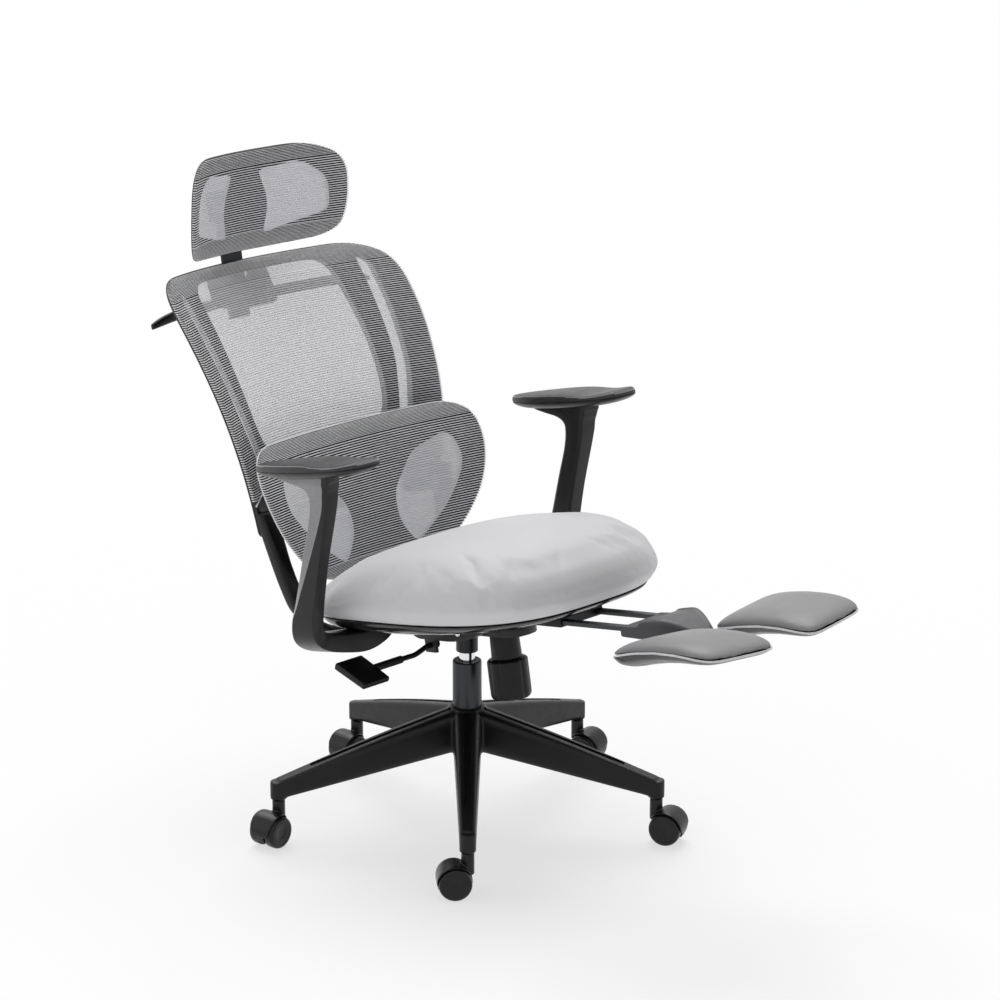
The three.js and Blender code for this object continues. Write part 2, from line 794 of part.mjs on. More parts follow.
const panBlack = finish(0x202124, 0.3);
add(seat, "seat_pan", seatPan(), panBlack);
add(seat, "seat_board", seatBoard(), finish(0xb89468, 0.7));
add(seat, "seat_cushion", seatCushion(), finish(0xa9a9ab, 0.75));

// Arms
const padRearY = 171;
const padFrontY = -127;
const padMiddleZ = 352.5;
const padRise = 3.7 * degree;
const padHalfWidth = 45;
const padBaseDepth = 9;
const padCrown = 16;
const padLength = padRearY - padFrontY;
const padY = (padRearY + padFrontY) / 2;
const armPointCount = 12;
const padOutlineShares = [
  // [share of the half width, share of the half length], from the front tip round to the pointed rear
  [0, -1],
  [0.55, -0.95],
  [0.92, -0.72],
  [1, -0.35],
  [0.93, 0.05],
  [0.74, 0.45],
  [0.44, 0.8],
  [0.15, 0.98],
];
const padPointCount = 18;
const padBaseShares = [
  // [share of the depth, share of the outline's size]
  [1, 0.84],
  [0.5, 0.95],
  [0, 1],
];
const padShares = [
  // [share of the height, share of the outline's size]
  [0, 1],
  [0.33, 0.99],
  [0.67, 0.88],
  [1, 0.6],
];
const armPostReach = 148; // how far the post's foot runs inward under the pan
const armPostFootZ = 33.3;
const armPostFootY = 104;
const armPostTopZ = 356; // in the pad's base, which trims it
const armPostHalfDepth = 60; // under the pad
const armPostHalfThickness = 19;
const armExponent = 4;
const armStationShares = [
  // shares of the inward reach, height, quarter turn inward, foot's y, half depth and half thickness
  [0, 1, 0, 0.19, 1, 1],
  [0, 0.938, 0, 0.16, 0.92, 1],
  [0, 0.842, 0, 0.23, 0.73, 0.95],
  [0, 0.709, 0, 0.19, 0.57, 0.84],
  [0, 0.507, 0, 0.35, 0.45, 0.74],
  [0, 0.334, 0, 0.61, 0.58, 0.79],
  [0, 0.2, 0, 0.81, 0.57, 0.87],
  [0.034, 0.114, 0.36, 0.99, 0.55, 0.84],
  [0.17, 0.052, 0.71, 1.08, 0.53, 0.74],
  [0.405, 0.018, 0.89, 1.08, 0.52, 0.68],
  [0.676, 0.001, 0.98, 1.04, 0.52, 0.62],
  [1, 0, 1, 1, 0.48, 0.62],
];

function armPost() {
  const rings = armStationShares.map(([inward, height, turn, y, deep, thick]) => {
    const angle = (turn * Math.PI) / 2;
    const z = armPostFootZ + height * (armPostTopZ - armPostFootZ);
    const centre = point(armSpread - inward * armPostReach, y * armPostFootY, z);
    const outward = point(Math.cos(angle), 0, -Math.sin(angle)).multiplyScalar(thick * armPostHalfThickness);
    return ring(centre, outward, point(0, deep * armPostHalfDepth, 0), armExponent, armPointCount);
  });
  const clear = block([-padLength, padLength], [-padLength, padLength], [-padBaseDepth - gap, padLength]);
  return cut(loft(rings), placePad(clear));
}

function placePad(geometry) {
  return geometry.rotateX(-padRise).translate(armSpread, padY, padMiddleZ);
}

function padRing(z, share) {
  const half = padOutlineShares.map(([x, y]) => point(x * padHalfWidth, (y * padLength) / 2, 0));
  const rear = point(0, padLength / 2, 0);
  const far = half.slice(1).reverse().map((spot) => point(-spot.x, spot.y, 0));
  const outline = new THREE.CatmullRomCurve3([...half, rear, ...far], true);
  const spots = outline.getSpacedPoints(padPointCount).slice(0, -1);
  return spots.map((spot) => point(spot.x * share, spot.y * share, z));
}

function armPadBase() {
  return placePad(loft(padBaseShares.map(([depth, share]) => padRing(-depth * padBaseDepth, share))));
}

function armPad() {
  const height = padCrown - gap;
  return placePad(loft(padShares.map(([rise, share]) => padRing(gap + rise * height, share))));
}

const armGrey = finish(0x2a2b2e, 0.4);
const padRubber = finish(0x2c2d30, 0.5);
for (const [side, mirror] of [["left", 1], ["right", -1]]) {
  add(seat, `arm_post_${side}`, armPost().scale(mirror, 1, 1), armGrey);
  add(seat, `arm_pad_base_${side}`, armPadBase().scale(mirror, 1, 1), armGrey);
  add(seat, `arm_pad_${side}`, armPad().scale(mirror, 1, 1), padRubber);
}

// Back: everything here reclines about the pin in the rear of the housing.
const back = movingGroup(seat, point(0, reclinePinY, reclinePinZ));
const backSetback = 161; // from the seat's rear edge to the back's face, at the height of backMiddle
const backDepth = seatRear + backSetback;
const backMiddle = 290;
const backLeanShare = 0.0969;
const backCurlRadius = 549;
const backWrapRadius = 347;
const backThickness = 18;
const backBottom = 200;
const meshThickness = 1.5;
const backOutlineShares = [
  // [share of the half width, share of the height, rounding share of the half width]
  [0.83, 1, 0.16],
  [0.995, 0.93, 0.2],
  [0.99, 0.72, 0.2],
  [0.93, 0.4, 0.2],
  [0.86, 0.16, 0.2],
  [0.79, 0, 0.04],
];
const windowShares = [
  [0.6, 0.926, 0.14],
  [0.615, 0.6, 0.2],
  [0.575, 0.33, 0.15],
  [0.44, 0.3, 0.12],
];
const slotShares = [
  [0.77, 0.945, 0.02],
  [0.84, 0.92, 0.03],
  [0.83, 0.75, 0.1],
  [0.79, 0.5, 0.1],
  [0.7, 0.28, 0.03],
  [0.62, 0.28, 0.03],
  [0.72, 0.55, 0.1],
  [0.745, 0.75, 0.1],
];

const backFront = (x, z) => {
  const up = z - backMiddle;
  return backDepth + backLeanShare * up + up ** 2 / (2 * backCurlRadius) - x ** 2 / (2 * backWrapRadius);
};

const backSurface = {
  front: backFront,
  halfWidth: backHalfWidth,
  low: backBottom,
  high: backTop,
  columns: 8,
  rows: 7,
};

// Below the woven sheet the frame is open between its side feet and the tongue that carries the lumbar guide.
const backFootShares = [
  [0.6, 0, 0.04],
  [0.585, 0.15, 0.1],
  [0.35, 0.2, 0.12],
  [0.115, 0.215, 0.03],
  [0.115, 0.01, 0.03],
];

function backOutline() {
  const right = setOut(backOutlineShares, backHalfWidth, backBottom, backTop);
  return rounded([...right, ...mirrored(right)]);
}

function backFrameOutline() {
  const shares = [...backOutlineShares, ...backFootShares];
  const right = setOut(shares, backHalfWidth, backBottom, backTop);
  return rounded([...right, ...mirrored(right)]);
}

function backOpenings() {
  const right = setOut(windowShares, backHalfWidth, backBottom, backTop);
  const slot = setOut(slotShares, backHalfWidth, backBottom, backTop);
  return [rounded([...right, ...mirrored(right)]), rounded(slot), rounded(mirrored(slot))];
}

// Rear of the frame's top edge, in whole millimetres: what hangs behind the back is set out from here.
const backTopRear = Math.round(backFront(0, backTop) + backThickness);

const screwInset = 56; // from the back's widest
const screwX = backHalfWidth - screwInset;
const screwZ = 228;
const screwRadius = 3;
const screwHeadRadius = 6;
const screwSeatDepth = 9; // from the frame's face to the floor of the counterbore in its rear
const screwHeadThickness = 3;
const yokeHalfThickness = 14;

// The room that a neighbour of the back frame leaves to it, from one offset of its face to another.
function frameRoom(near, far, low, high) {
  const outline = rounded([
    [-backHalfWidth, low, 0],
    [backHalfWidth, low, 0],
    [backHalfWidth, high, 0],
    [-backHalfWidth, high, 0],
  ]);
  return curvedPlate(backSurface, near, far, outline);
}

const screwFace = backFront(screwX, screwZ);
const screwSeat = screwFace + screwSeatDepth;
const screwTip = screwFace - yokeHalfThickness;

function screwBores() {
  return [-1, 1].flatMap((side) => {
    const at = (y) => point(side * screwX, y, screwZ);
    const shankBore = bar(screwRadius + gap, at(screwTip - gap), at(screwSeat + overrun), smallSides);
    const headBore = bar(screwHeadRadius + gap, at(screwSeat), at(screwSeat + 2 * backThickness), smallSides);
    return [shankBore, headBore];
  });
}

function backFrame() {
  const frame = curvedPlate(backSurface, 0, backThickness, backFrameOutline(), backOpenings());
  return cut(frame, ...screwBores());
}

// The woven sheet covers the frame's face and ends in an arch above its foot.
const meshSideLow = 262;
const meshArchLow = 318;
function backMesh() {
  const sheet = curvedPlate(backSurface, -gap - meshThickness, -gap, backOutline());
  const reach = 2 * backHalfWidth;
  const arch = new THREE.Shape();
  arch.moveTo(-reach, -reach);
  arch.lineTo(reach, -reach);
  arch.lineTo(backHalfWidth, meshSideLow - backThickness);
  arch.quadraticCurveTo(0, 2 * meshArchLow - meshSideLow, -backHalfWidth, meshSideLow - backThickness);
  arch.closePath();
  const foot = plate(arch, 0, 2 * reach, 6).rotateX(Math.PI / 2).translate(0, 2 * reach, 0);
  return cut(sheet, foot);
}

const frameBlack = finish(0x1a1b1d, 0.5);
const meshGrey = finish(0x77787b, 0.85);
add(back, "back_frame", backFrame(), frameBlack);
add(back, "back_mesh", backMesh(), meshGrey);

// Yoke: from the recline pin, back under the seat, out to both sides and up in front of the frame's foot.
const yokeArmHalfWidth = 42;
const yokeBossRadius = 12;
const yokeArmLow = 4;
const yokeArmHigh = 25;
const yokeCrossY = 196;
const yokeInset = 53; // of its bars' tops from the back's widest
const yokeHalfSpread = backHalfWidth - yokeInset;
const yokeSetIn = 75; // of its bars' tops from the back's depth
const yokeTopY = backDepth - yokeSetIn;
const yokeTopZ = 246;
const yokeCrossZ = 14;
const yokeHalfWidth = 20;
const yokeLyingShare = 0.7; // of its thickness, where it lies under the seat
const yokeExponent = 4;
const yokePoints = 12;
const yokeStationShares = [
  // shares of the half spread, way back, way up, quarter turn from lying to standing, half width
  [0, 0, 0, 0, 1],
  [0.34, 0.03, 0.004, 0, 1],
  [0.62, 0.25, 0.026, 0.13, 1],
  [0.81, 0.55, 0.1, 0.44, 1],
  [0.92, 0.76, 0.23, 0.76, 1],
  [0.957, 0.87, 0.405, 0.93, 1.05],
  [0.976, 0.94, 0.586, 1, 1.1],
  [0.995, 0.98, 0.8, 1, 1.15],
  [1, 1, 1, 1, 1],
];

function yokeSide(mirror) {
  const rings = yokeStationShares.map(([aside, rearward, upward, turn, width]) => {
    const angle = (turn * Math.PI) / 2;
    const y = yokeCrossY + rearward * (yokeTopY - yokeCrossY);
    const z = yokeCrossZ + upward * (yokeTopZ - yokeCrossZ);
    const standing = yokeHalfThickness * Math.sin(angle);
    const lying = yokeHalfThickness * Math.cos(angle) * yokeLyingShare;
    const halfWidth = width * yokeHalfWidth;
    const wide = point(mirror * halfWidth * Math.sin(angle), halfWidth * Math.cos(angle), 0);
    const centre = point(mirror * aside * yokeHalfSpread, y, z);
    return ring(centre, wide, point(0, standing, lying), yokeExponent, yokePoints);
  });
  return loft(rings);
}

function backYoke() {
  const armWidth = [-yokeArmHalfWidth, yokeArmHalfWidth];
  const arm = block(armWidth, [reclinePinY, yokeCrossY], [yokeArmLow, yokeArmHigh]);
  const boss = acrossBar(yokeBossRadius, yokeArmHalfWidth, reclinePinY, reclinePinZ, fineSides);
  const pinBore = acrossBar(reclinePinRadius + gap, housingHalfWidth, reclinePinY, reclinePinZ);
  const whole = join(arm, boss, yokeSide(1), yokeSide(-1));
  const room = frameRoom(-gap, backHalfWidth, backBottom - gap, backTop);
  return cut(whole, pinBore, room, ...screwBores());
}

function yokeScrew(side) {
  const at = (y) => point(side * screwX, y, screwZ);
  const under = screwSeat + gap;
  const shank = bar(screwRadius, at(screwTip), at(under + screwHeadThickness / 2), smallSides);
  return join(shank, bar(screwHeadRadius, at(under), at(under + screwHeadThickness), smallSides));
}

add(back, "back_yoke", backYoke(), nylon);
add(back, "yoke_screw_left", yokeScrew(1), darkSteel);
add(back, "yoke_screw_right", yokeScrew(-1), darkSteel);
add(seat, "recline_pin", acrossBar(reclinePinRadius, axleHalfLength, reclinePinY, reclinePinZ), pinSteel);

// Coat hanger and the bracket that also guides the headrest post
const bracketHalfWidth = 50;
const bracketDrop = 79; // of its foot below the back's top edge
const bracketLow = backTop - bracketDrop;
const bracketSetback = 23;
const bracketRear = backTopRear + bracketSetback;
const bracketReach = 37; // forward, where the back's frame trims it
const bracketFrontLow = backTopRear - bracketReach;
const hangerInset = 2; // of its ends from the back's widest
const hangerHalfLength = backHalfWidth - hangerInset;
const hangerSetIn = 20;
const hangerY = backTopRear - hangerSetIn;
const hangerDrop = 47; // below the back's top edge
const hangerZ = backTop - hangerDrop;
const hangerSweep = 46; // how far its ends come forward
const hangerDroop = 20;
const hangerHalfDepth = 7;
const hangerHalfHeight = 9;
const hangerDroopStartShare = 0.6;
const hangerTaperShare = 0.45;
const hangerTaperPower = 8;
const hangerExponent = 3;
const hangerPoints = 10;
const hangerShares = [-1, -0.96, -0.82, -0.5, 0, 0.5, 0.82, 0.96, 1];
const postHalfWidth = 22;
const postThickness = 8;
const postSetback = 5;
const postFront = backTopRear + postSetback;
const postTuck = 100; // how far it reaches below the back's top edge
const postLow = backTop - postTuck;
const headRise = 110; // of the headrest's middle above the back's top edge
const headMiddle = backTop + headRise;
const headPinDrop = 7;
const headPinZ = headMiddle - headPinDrop;
const postOverPin = 22;
const postTop = headPinZ + postOverPin;

function hangerBar(growth) {
  const rings = hangerShares.map((share) => {
    const beyond = Math.max(0, Math.abs(share) - hangerDroopStartShare) / (1 - hangerDroopStartShare);
    const droop = hangerDroop * beyond ** 2;
    const taper = 1 - hangerTaperShare * share ** hangerTaperPower;
    const centre = point(share * hangerHalfLength, hangerY - hangerSweep * share ** 2, hangerZ - droop);
    const deep = point(0, hangerHalfDepth * taper + growth, 0);
    const high = point(0, 0, hangerHalfHeight * taper + growth);
    return ring(centre, deep, high, hangerExponent, hangerPoints);
  });
  return loft(rings);
}

function postBar(growth) {
  const half = postHalfWidth + growth;
  return block([-half, half], [postFront - growth, postFront + postThickness + growth], [postLow, postTop]);
}

function hangerBracket() {
  const side = rounded([
    [bracketFrontLow, bracketLow, backThickness],
    [bracketRear, bracketLow, backThickness],
    [bracketRear, backTop, backThickness / 2],
    [bracketFrontLow, backTop, 0],
  ]);
  const body = sidePlate(side, -bracketHalfWidth, bracketHalfWidth);
  const tall = postBar(gap).translate(0, 0, -backThickness);
  const room = frameRoom(-backHalfWidth, backThickness + gap, bracketLow - overrun, backTop + overrun);
  return cut(body, room, hangerBar(gap), tall, postBar(gap));
}

add(back, "hanger_bracket", hangerBracket(), frameBlack);
add(back, "coat_hanger", hangerBar(0), nylon);

// Lumbar support on its upright guide
const lumbarSetIn = 123; // of its lowest edge from the back's depth
const lumbarDepth = backDepth - lumbarSetIn;
const lumbarLowest = 120;
const lumbarCurlRadius = 606;
const lumbarWrapRadius = 714;
const lumbarBottom = 105;
const lumbarTop = 360;
const lumbarThickness = 10;
const lumbarFront = (x, z) => {
  const curl = (z - lumbarLowest) ** 2 / (2 * lumbarCurlRadius);
  return lumbarDepth + curl - x ** 2 / (2 * lumbarWrapRadius);
};
const lumbarOutlineShares = [
  [0.86, 1, 0.12],
  [1, 0.9, 0.1],
  [1.01, 0.66, 0.15],
  [0.9, 0.37, 0.2],
  [0.64, 0.08, 0.2],
  [0.4, 0, 0.14],
];
const leafShares = [
  [0.44, 0.725, 0.08],
  [0.77, 0.82, 0.1],
  [0.83, 0.6, 0.12],
  [0.64, 0.33, 0.15],
  [0.33, 0.1, 0.07],
  [0.21, 0.28, 0.08],
  [0.21, 0.48, 0.1],
];
const guideHalfWidth = 18;
const guideReach = 20; // how far it stands out of the back's face
const guideFront = backDepth - guideReach;
const guideLow = 205;
const guideHigh = 300;
const carrierHalfWidth = 27;
const carrierLow = 238;
const carrierHigh = 288;
const carrierGrip = 12; // how far it runs along the guide's sides
const carrierRear = guideFront + carrierGrip;
const lumbarSurface = {
  front: lumbarFront,
  halfWidth: lumbarHalfWidth,
  low: lumbarBottom,
  high: lumbarTop,
  columns: 6,
  rows: 5,
};

function lumbarOutline() {
  const right = setOut(lumbarOutlineShares, lumbarHalfWidth, lumbarBottom, lumbarTop);
  return rounded([...right, ...mirrored(right)]);
}

function lumbarFrame() {
  const leaf = setOut(leafShares, lumbarHalfWidth, lumbarBottom, lumbarTop);
  const openings = [rounded(leaf), rounded(mirrored(leaf))];
  return curvedPlate(lumbarSurface, 0, lumbarThickness, lumbarOutline(), openings);
}

function lumbarMesh() {
  return curvedPlate(lumbarSurface, -gap - meshThickness, -gap, lumbarOutline());
}

function lumbarGuide() {
  const depth = [guideFront, backDepth + backThickness];
  const body = block([-guideHalfWidth, guideHalfWidth], depth, [guideLow, guideHigh]);
  return cut(body, frameRoom(-gap, backHalfWidth, backBottom - gap, backTop));
}

function lumbarCarrier() {
  const half = carrierHalfWidth;
  const body = block([-half, half], [lumbarDepth, carrierRear], [carrierLow, carrierHigh]);
  const groove = guideHalfWidth + gap;
  const room = block([-groove, groove], [guideFront - gap, carrierRear + overrun], [guideLow, guideHigh]);
  const plateRoom = curvedPlate(lumbarSurface, -lumbarDepth, lumbarThickness + gap, lumbarOutline());
  return cut(body, room, plateRoom);
}

add(back, "lumbar_guide", lumbarGuide(), frameBlack);
const lumbar = movingGroup(back, point(0, guideFront, carrierLow));
add(lumbar, "lumbar_carrier", lumbarCarrier(), frameBlack);
add(lumbar, "lumbar_frame", lumbarFrame(), frameBlack);
add(lumbar, "lumbar_mesh", lumbarMesh(), meshGrey);

// Headrest on its sliding post
const headSetIn = 45; // of its middle from the rear of the back's top edge
const headDepth = backTopRear - headSetIn;
const headLeanShare = -0.24;
const headWrapRadius = 192;
const headLower = 87; // from its middle down to its lower edge
const headUpper = 86;
const headBottom = headMiddle - headLower;
const headTop = headMiddle + headUpper;
const headThickness = 12;
const headPinSetIn = 11;
const headPinY = backTopRear - headPinSetIn;
const headPinRadius = 4;
const headLugHalfWidth = 20;
const headLugRadius = 10;
const cheekHalfWidth = 32;
const cheekReach = 11; // in front of the pin
const cheekFront = headPinY - cheekReach;
const cheekHalfHeight = 14;
const headBlockReach = 4.5; // in front of the post
const headBlockFront = postFront - headBlockReach;
const headBlockSetback = 5; // behind the post
const headBlockRear = postFront + postThickness + headBlockSetback;
const headBlockHalfHeight = 26;
const headBlockLow = headPinZ - headBlockHalfHeight;
const headBlockHigh = headPinZ + headBlockHalfHeight;
const headFront = (x, z) => {
  return headDepth + headLeanShare * (z - headMiddle) - x ** 2 / (2 * headWrapRadius);
};
const headOutlineShares = [
  [0.68, 1, 0.2],
  [0.99, 0.82, 0.24],
  [1.01, 0.32, 0.2],
  [0.93, 0.03, 0.22],
  [0.4, 0, 0.2],
];
const headWindowShares = [
  [0.17, 0.79, 0.05],
  [0.62, 0.83, 0.12],
  [0.84, 0.62, 0.12],
  [0.86, 0.28, 0.08],
  [0.24, 0.14, 0.06],
  [0.3, 0.46, 0.15],
];
const headSurface = {
  front: headFront,
  halfWidth: headHalfWidth,
  low: headBottom,
  high: headTop,
  columns: 6,
  rows: 3,
};

function headOutline() {
  const right = setOut(headOutlineShares, headHalfWidth, headBottom, headTop);
  return rounded([...right, ...mirrored(right)]);
}

function headFrame() {
  const opening = setOut(headWindowShares, headHalfWidth, headBottom, headTop);
  const openings = [rounded(opening), rounded(mirrored(opening))];
  const shell = curvedPlate(headSurface, 0, headThickness, headOutline(), openings);
  const half = headLugHalfWidth;
  const eye = acrossBar(headLugRadius, half, headPinY, headPinZ, fineSides);
  const neckFrom = headFront(0, headPinZ) + headThickness / 2;
  const neckHeight = [headPinZ - headLugRadius, headPinZ + headLugRadius];
  const neck = block([-half, half], [neckFrom, headPinY], neckHeight);
  const bore = acrossBar(headPinRadius + gap, half + overrun, headPinY, headPinZ);
  return cut(join(shell, eye, neck), bore);
}

function headMesh() {
  return curvedPlate(headSurface, -gap - meshThickness, -gap, headOutline());
}

function headBracket() {
  const depth = [headBlockFront, headBlockRear];
  const body = block([-cheekHalfWidth, cheekHalfWidth], depth, [headBlockLow, headBlockHigh]);
  const inner = headLugHalfWidth + gap;
  const cheekHeight = [headPinZ - cheekHalfHeight, headPinZ + cheekHalfHeight];
  const cheeks = [-1, 1].map((side) => {
    const limits = [side * inner, side * cheekHalfWidth].sort((a, b) => a - b);
    return block(limits, [cheekFront, headBlockRear], cheekHeight);
  });
  const bore = acrossBar(headPinRadius + gap, cheekHalfWidth + overrun, headPinY, headPinZ);
  return cut(join(body, ...cheeks), bore, postBar(gap));
}

const headLift = movingGroup(back, point(0, postFront, backTop));
add(headLift, "headrest_post", postBar(0), darkSteel);
add(headLift, "headrest_bracket", headBracket(), frameBlack);
add(headLift, "headrest_pin", acrossBar(headPinRadius, cheekHalfWidth, headPinY, headPinZ), pinSteel);
const headTurn = movingGroup(headLift, point(0, headPinY, headPinZ));
add(headTurn, "headrest_frame", headFrame(), frameBlack);
add(headTurn, "headrest_mesh", headMesh(), meshGrey);

// Footrest
const railX = 40;
const railHalfWidth = 7;
const railLow = 46.2;
const railHigh = 54.2;
const railFront = -420;
const railRear = -82;
const trackFront = -245;
const trackRear = -92;
const trackWall = 3;
const endCapFront = -536;
const endCapRear = -383;
const endCapHalfWidth = 52;
const endCapNose = 14;
const shoulderShare = 0.45; // of the length from the rear, where its sides start to narrow
const shoulderRoundingShare = 0.2;
const noseShare = 0.1; // of the length from the front, where they end
const noseRoundingShare = 0.12;
const endCapShares = [
  // [share of the length from the rear, share of the height, rounding share of the length]
  [0, 0.66, 0.01],
  [0.22, 0.7, 0.01],
  [0.3, 0.86, 0.03],
  [0.55, 1, 0.2],
  [0.85, 0.62, 0.1],
  [1, 0.35, 0.04],
  [1, 0.1, 0.04],
  [0.8, 0, 0.05],
  [0.1, 0.22, 0.05],
];
const endCapLow = 25;
const endCapHigh = 73;
const footAxleY = -528;
const footAxleZ = 32;
const footAxleRadius = 5;
const footAxleHalfLength = 84;
const footPadX = 112;
const footPadHalfWidth = 78;
const footPadY = -598;
const footPadHalfDepth = 110;
const footRim = 42;
const footArch = 14; // how much the middle of the pad stands above its front and rear
const footNod = 4; // how much lower its rear lies than its middle, for the slope alone
const footRoll = 5; // how much higher its outer edge lies than its middle
const footSlant = 8; // how much farther back its outer edge lies than its middle
const footCrown = 18;
const footShellDepth = 29;
const footFrontThinShare = 0.5;
const footPoints = 20;
const footExponent = 6;
const footPadShares = [
  [0, 1],
  [0.35, 0.97],
  [0.7, 0.86],
  [0.92, 0.66],
  [1, 0.34],
];
const footShellShares = [
  [1, 0.56],
  [0.86, 0.76],
  [0.5, 0.92],
  [0.15, 0.985],
  [0, 1],
];

function rail(side) {
  const limits = [side * railX - railHalfWidth, side * railX + railHalfWidth];
  return block(limits, [railFront, railRear], [railLow, railHigh]);
}

function railRoomFor(side, growth) {
  const half = railHalfWidth + growth;
  const limits = [side * railX - half, side * railX + half];
  return block(limits, [railFront - growth, railRoomRear], [railLow - growth, railHigh + growth]);
}

function footrestTrack() {
  const outside = railX + railHalfWidth + gap + trackWall;
  const low = railLow - gap - trackWall;
  const high = railHigh + gap + trackWall;
  const body = block([-outside, outside], [trackFront, trackRear], [low, high]);
  return cut(body, railRoomFor(-1, gap), railRoomFor(1, gap));
}

function endCap() {
  const length = endCapRear - endCapFront;
  const side = endCapShares.map(([y, z, rounding]) => [
    endCapRear - y * length,
    endCapLow + z * (endCapHigh - endCapLow),
    rounding * length,
  ]);
  const body = sidePlate(rounded(side), -endCapHalfWidth, endCapHalfWidth);
  const right = [
    [endCapNose, endCapFront - overrun, 0],
    [endCapNose, endCapFront + noseShare * length, noseRoundingShare * length],
    [endCapHalfWidth, endCapRear - shoulderShare * length, shoulderRoundingShare * length],
    [endCapHalfWidth, endCapRear + overrun, 0],
  ];
  const plan = rounded([...right, ...mirrored(right)]);
  const shaped = common(body, plate(plan, 0, 2 * endCapHigh));
  const bore = acrossBar(footAxleRadius + gap, endCapHalfWidth, footAxleY, footAxleZ);
  return cut(shaped, railRoomFor(-1, gap), railRoomFor(1, gap), bore);
}

// One ring of a foot pad: an arched outline, raised or lowered by a distance.
function footRing(side, height, share) {
  const across = point(footPadHalfWidth, 0, 0);
  const flat = ring(new THREE.Vector3(), across, point(0, footPadHalfDepth, 0), footExponent, footPoints);
  return flat.map(({ x, y }) => {
    const along = (share * y) / footPadHalfDepth;
    const outward = (side * share * x) / footPadHalfWidth;
    const level = footRim + footArch * (1 - along ** 2) - footNod * along + footRoll * outward;
    const thin = height < 0 ? 1 - footFrontThinShare * (0.5 - along / 2) : 1;
    return point(side * footPadX + x * share, footPadY + y * share + footSlant * outward, level + height * thin);
  });
}

function footPad(side) {
  return loft(footPadShares.map(([height, share]) => footRing(side, gap + height * footCrown, share)));
}

function footShell(side) {
  const shell = loft(footShellShares.map(([depth, share]) => footRing(side, -depth * footShellDepth, share)));
  return cut(shell, acrossBar(footAxleRadius + gap, footAxleHalfLength + gap, footAxleY, footAxleZ));
}

add(seat, "footrest_track", footrestTrack(), darkSteel);
const footSlide = movingGroup(seat, point(0, railFront, railLow));
add(footSlide, "footrest_rail_left", rail(1), darkSteel);
add(footSlide, "footrest_rail_right", rail(-1), darkSteel);
add(footSlide, "footrest_end_cap", endCap(), panBlack);
const footAxle = acrossBar(footAxleRadius, footAxleHalfLength, footAxleY, footAxleZ);
add(footSlide, "footrest_axle", footAxle, pinSteel);
const footFlip = movingGroup(footSlide, point(0, footAxleY, footAxleZ));
for (const [name, side] of [["left", 1], ["right", -1]]) {
  add(footFlip, `foot_shell_${name}`, footShell(side), panBlack);
  add(footFlip, `foot_pad_${name}`, footPad(side), finish(0x8c8c8e, 0.5));
}

// The chair stands with the middle of its box over the origin and its wheels on the floor.
chair.updateMatrixWorld(true);
const bounds = new THREE.Box3().setFromObject(chair, true);
const middle = bounds.getCenter(new THREE.Vector3());
chair.position.set(-middle.x, -middle.y, -bounds.min.z);

const part = new THREE.Group();
part.add(chair);

export default part;
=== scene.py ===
# Reclining office chair with a pull-out footrest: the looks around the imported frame.
# Lengths in the piece dictionaries are millimetres in one of two places:
# the tilted chair's own frame (y back along the seat, z square to it), or the floor under the column.
import json
import math

import bmesh
import bpy
import numpy as np
from mathutils import Matrix, Vector


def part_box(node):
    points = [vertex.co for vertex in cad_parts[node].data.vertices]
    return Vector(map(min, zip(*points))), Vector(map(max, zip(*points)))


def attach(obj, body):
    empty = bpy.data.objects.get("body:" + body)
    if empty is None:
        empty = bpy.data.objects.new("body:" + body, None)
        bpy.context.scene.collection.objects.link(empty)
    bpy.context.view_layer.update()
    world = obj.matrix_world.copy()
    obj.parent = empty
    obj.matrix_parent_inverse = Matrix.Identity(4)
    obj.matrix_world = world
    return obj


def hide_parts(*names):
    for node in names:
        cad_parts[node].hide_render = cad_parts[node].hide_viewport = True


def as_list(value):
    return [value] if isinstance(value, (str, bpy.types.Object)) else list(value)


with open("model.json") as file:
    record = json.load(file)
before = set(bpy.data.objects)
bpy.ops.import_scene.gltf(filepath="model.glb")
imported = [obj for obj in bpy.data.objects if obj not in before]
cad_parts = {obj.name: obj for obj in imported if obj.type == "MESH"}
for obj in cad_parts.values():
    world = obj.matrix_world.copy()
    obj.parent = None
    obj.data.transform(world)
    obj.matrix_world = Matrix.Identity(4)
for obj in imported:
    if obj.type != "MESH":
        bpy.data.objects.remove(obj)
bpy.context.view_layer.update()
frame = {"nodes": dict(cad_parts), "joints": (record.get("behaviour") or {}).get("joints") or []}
print("frame loaded,", len(frame["nodes"]), "nodes")

jointNamed = {joint["name"]: joint for joint in frame["joints"]}
mm = 0.001
softAngle = 38  # degrees: edges that bend more than this look crisp
roundness = {"tiny": 24, "small": 32, "middle": 48, "large": 72}  # sides of round things


# Places

tiltPivotHeight = 19  # of the tilt axle above the tilted frame's origin
backward = Vector(jointNamed["footrest_slide"]["axis"])
upward = Vector(jointNamed["lumbar_height"]["axis"])
sideways = Vector((1, 0, 0))
tiltedOrigin = Vector(jointNamed["seat_tilt"]["pos_m"]) - tiltPivotHeight * mm * upward
tubeLow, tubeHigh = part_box("gas_tube")
columnAxis = Vector(((tubeLow.x + tubeHigh.x) / 2, (tubeLow.y + tubeHigh.y) / 2, 0))


def placement(x, y, z, origin):
    turned = Matrix((x, y, z)).transposed().to_4x4()
    return Matrix.Translation(origin) @ turned @ Matrix.Scale(mm, 4)


inChair = placement(sideways, backward, upward, tiltedOrigin)
onFloor = placement(Vector((1, 0, 0)), Vector((0, 1, 0)), Vector((0, 0, 1)), columnAxis)
chairTurn = inChair.to_3x3().inverted()


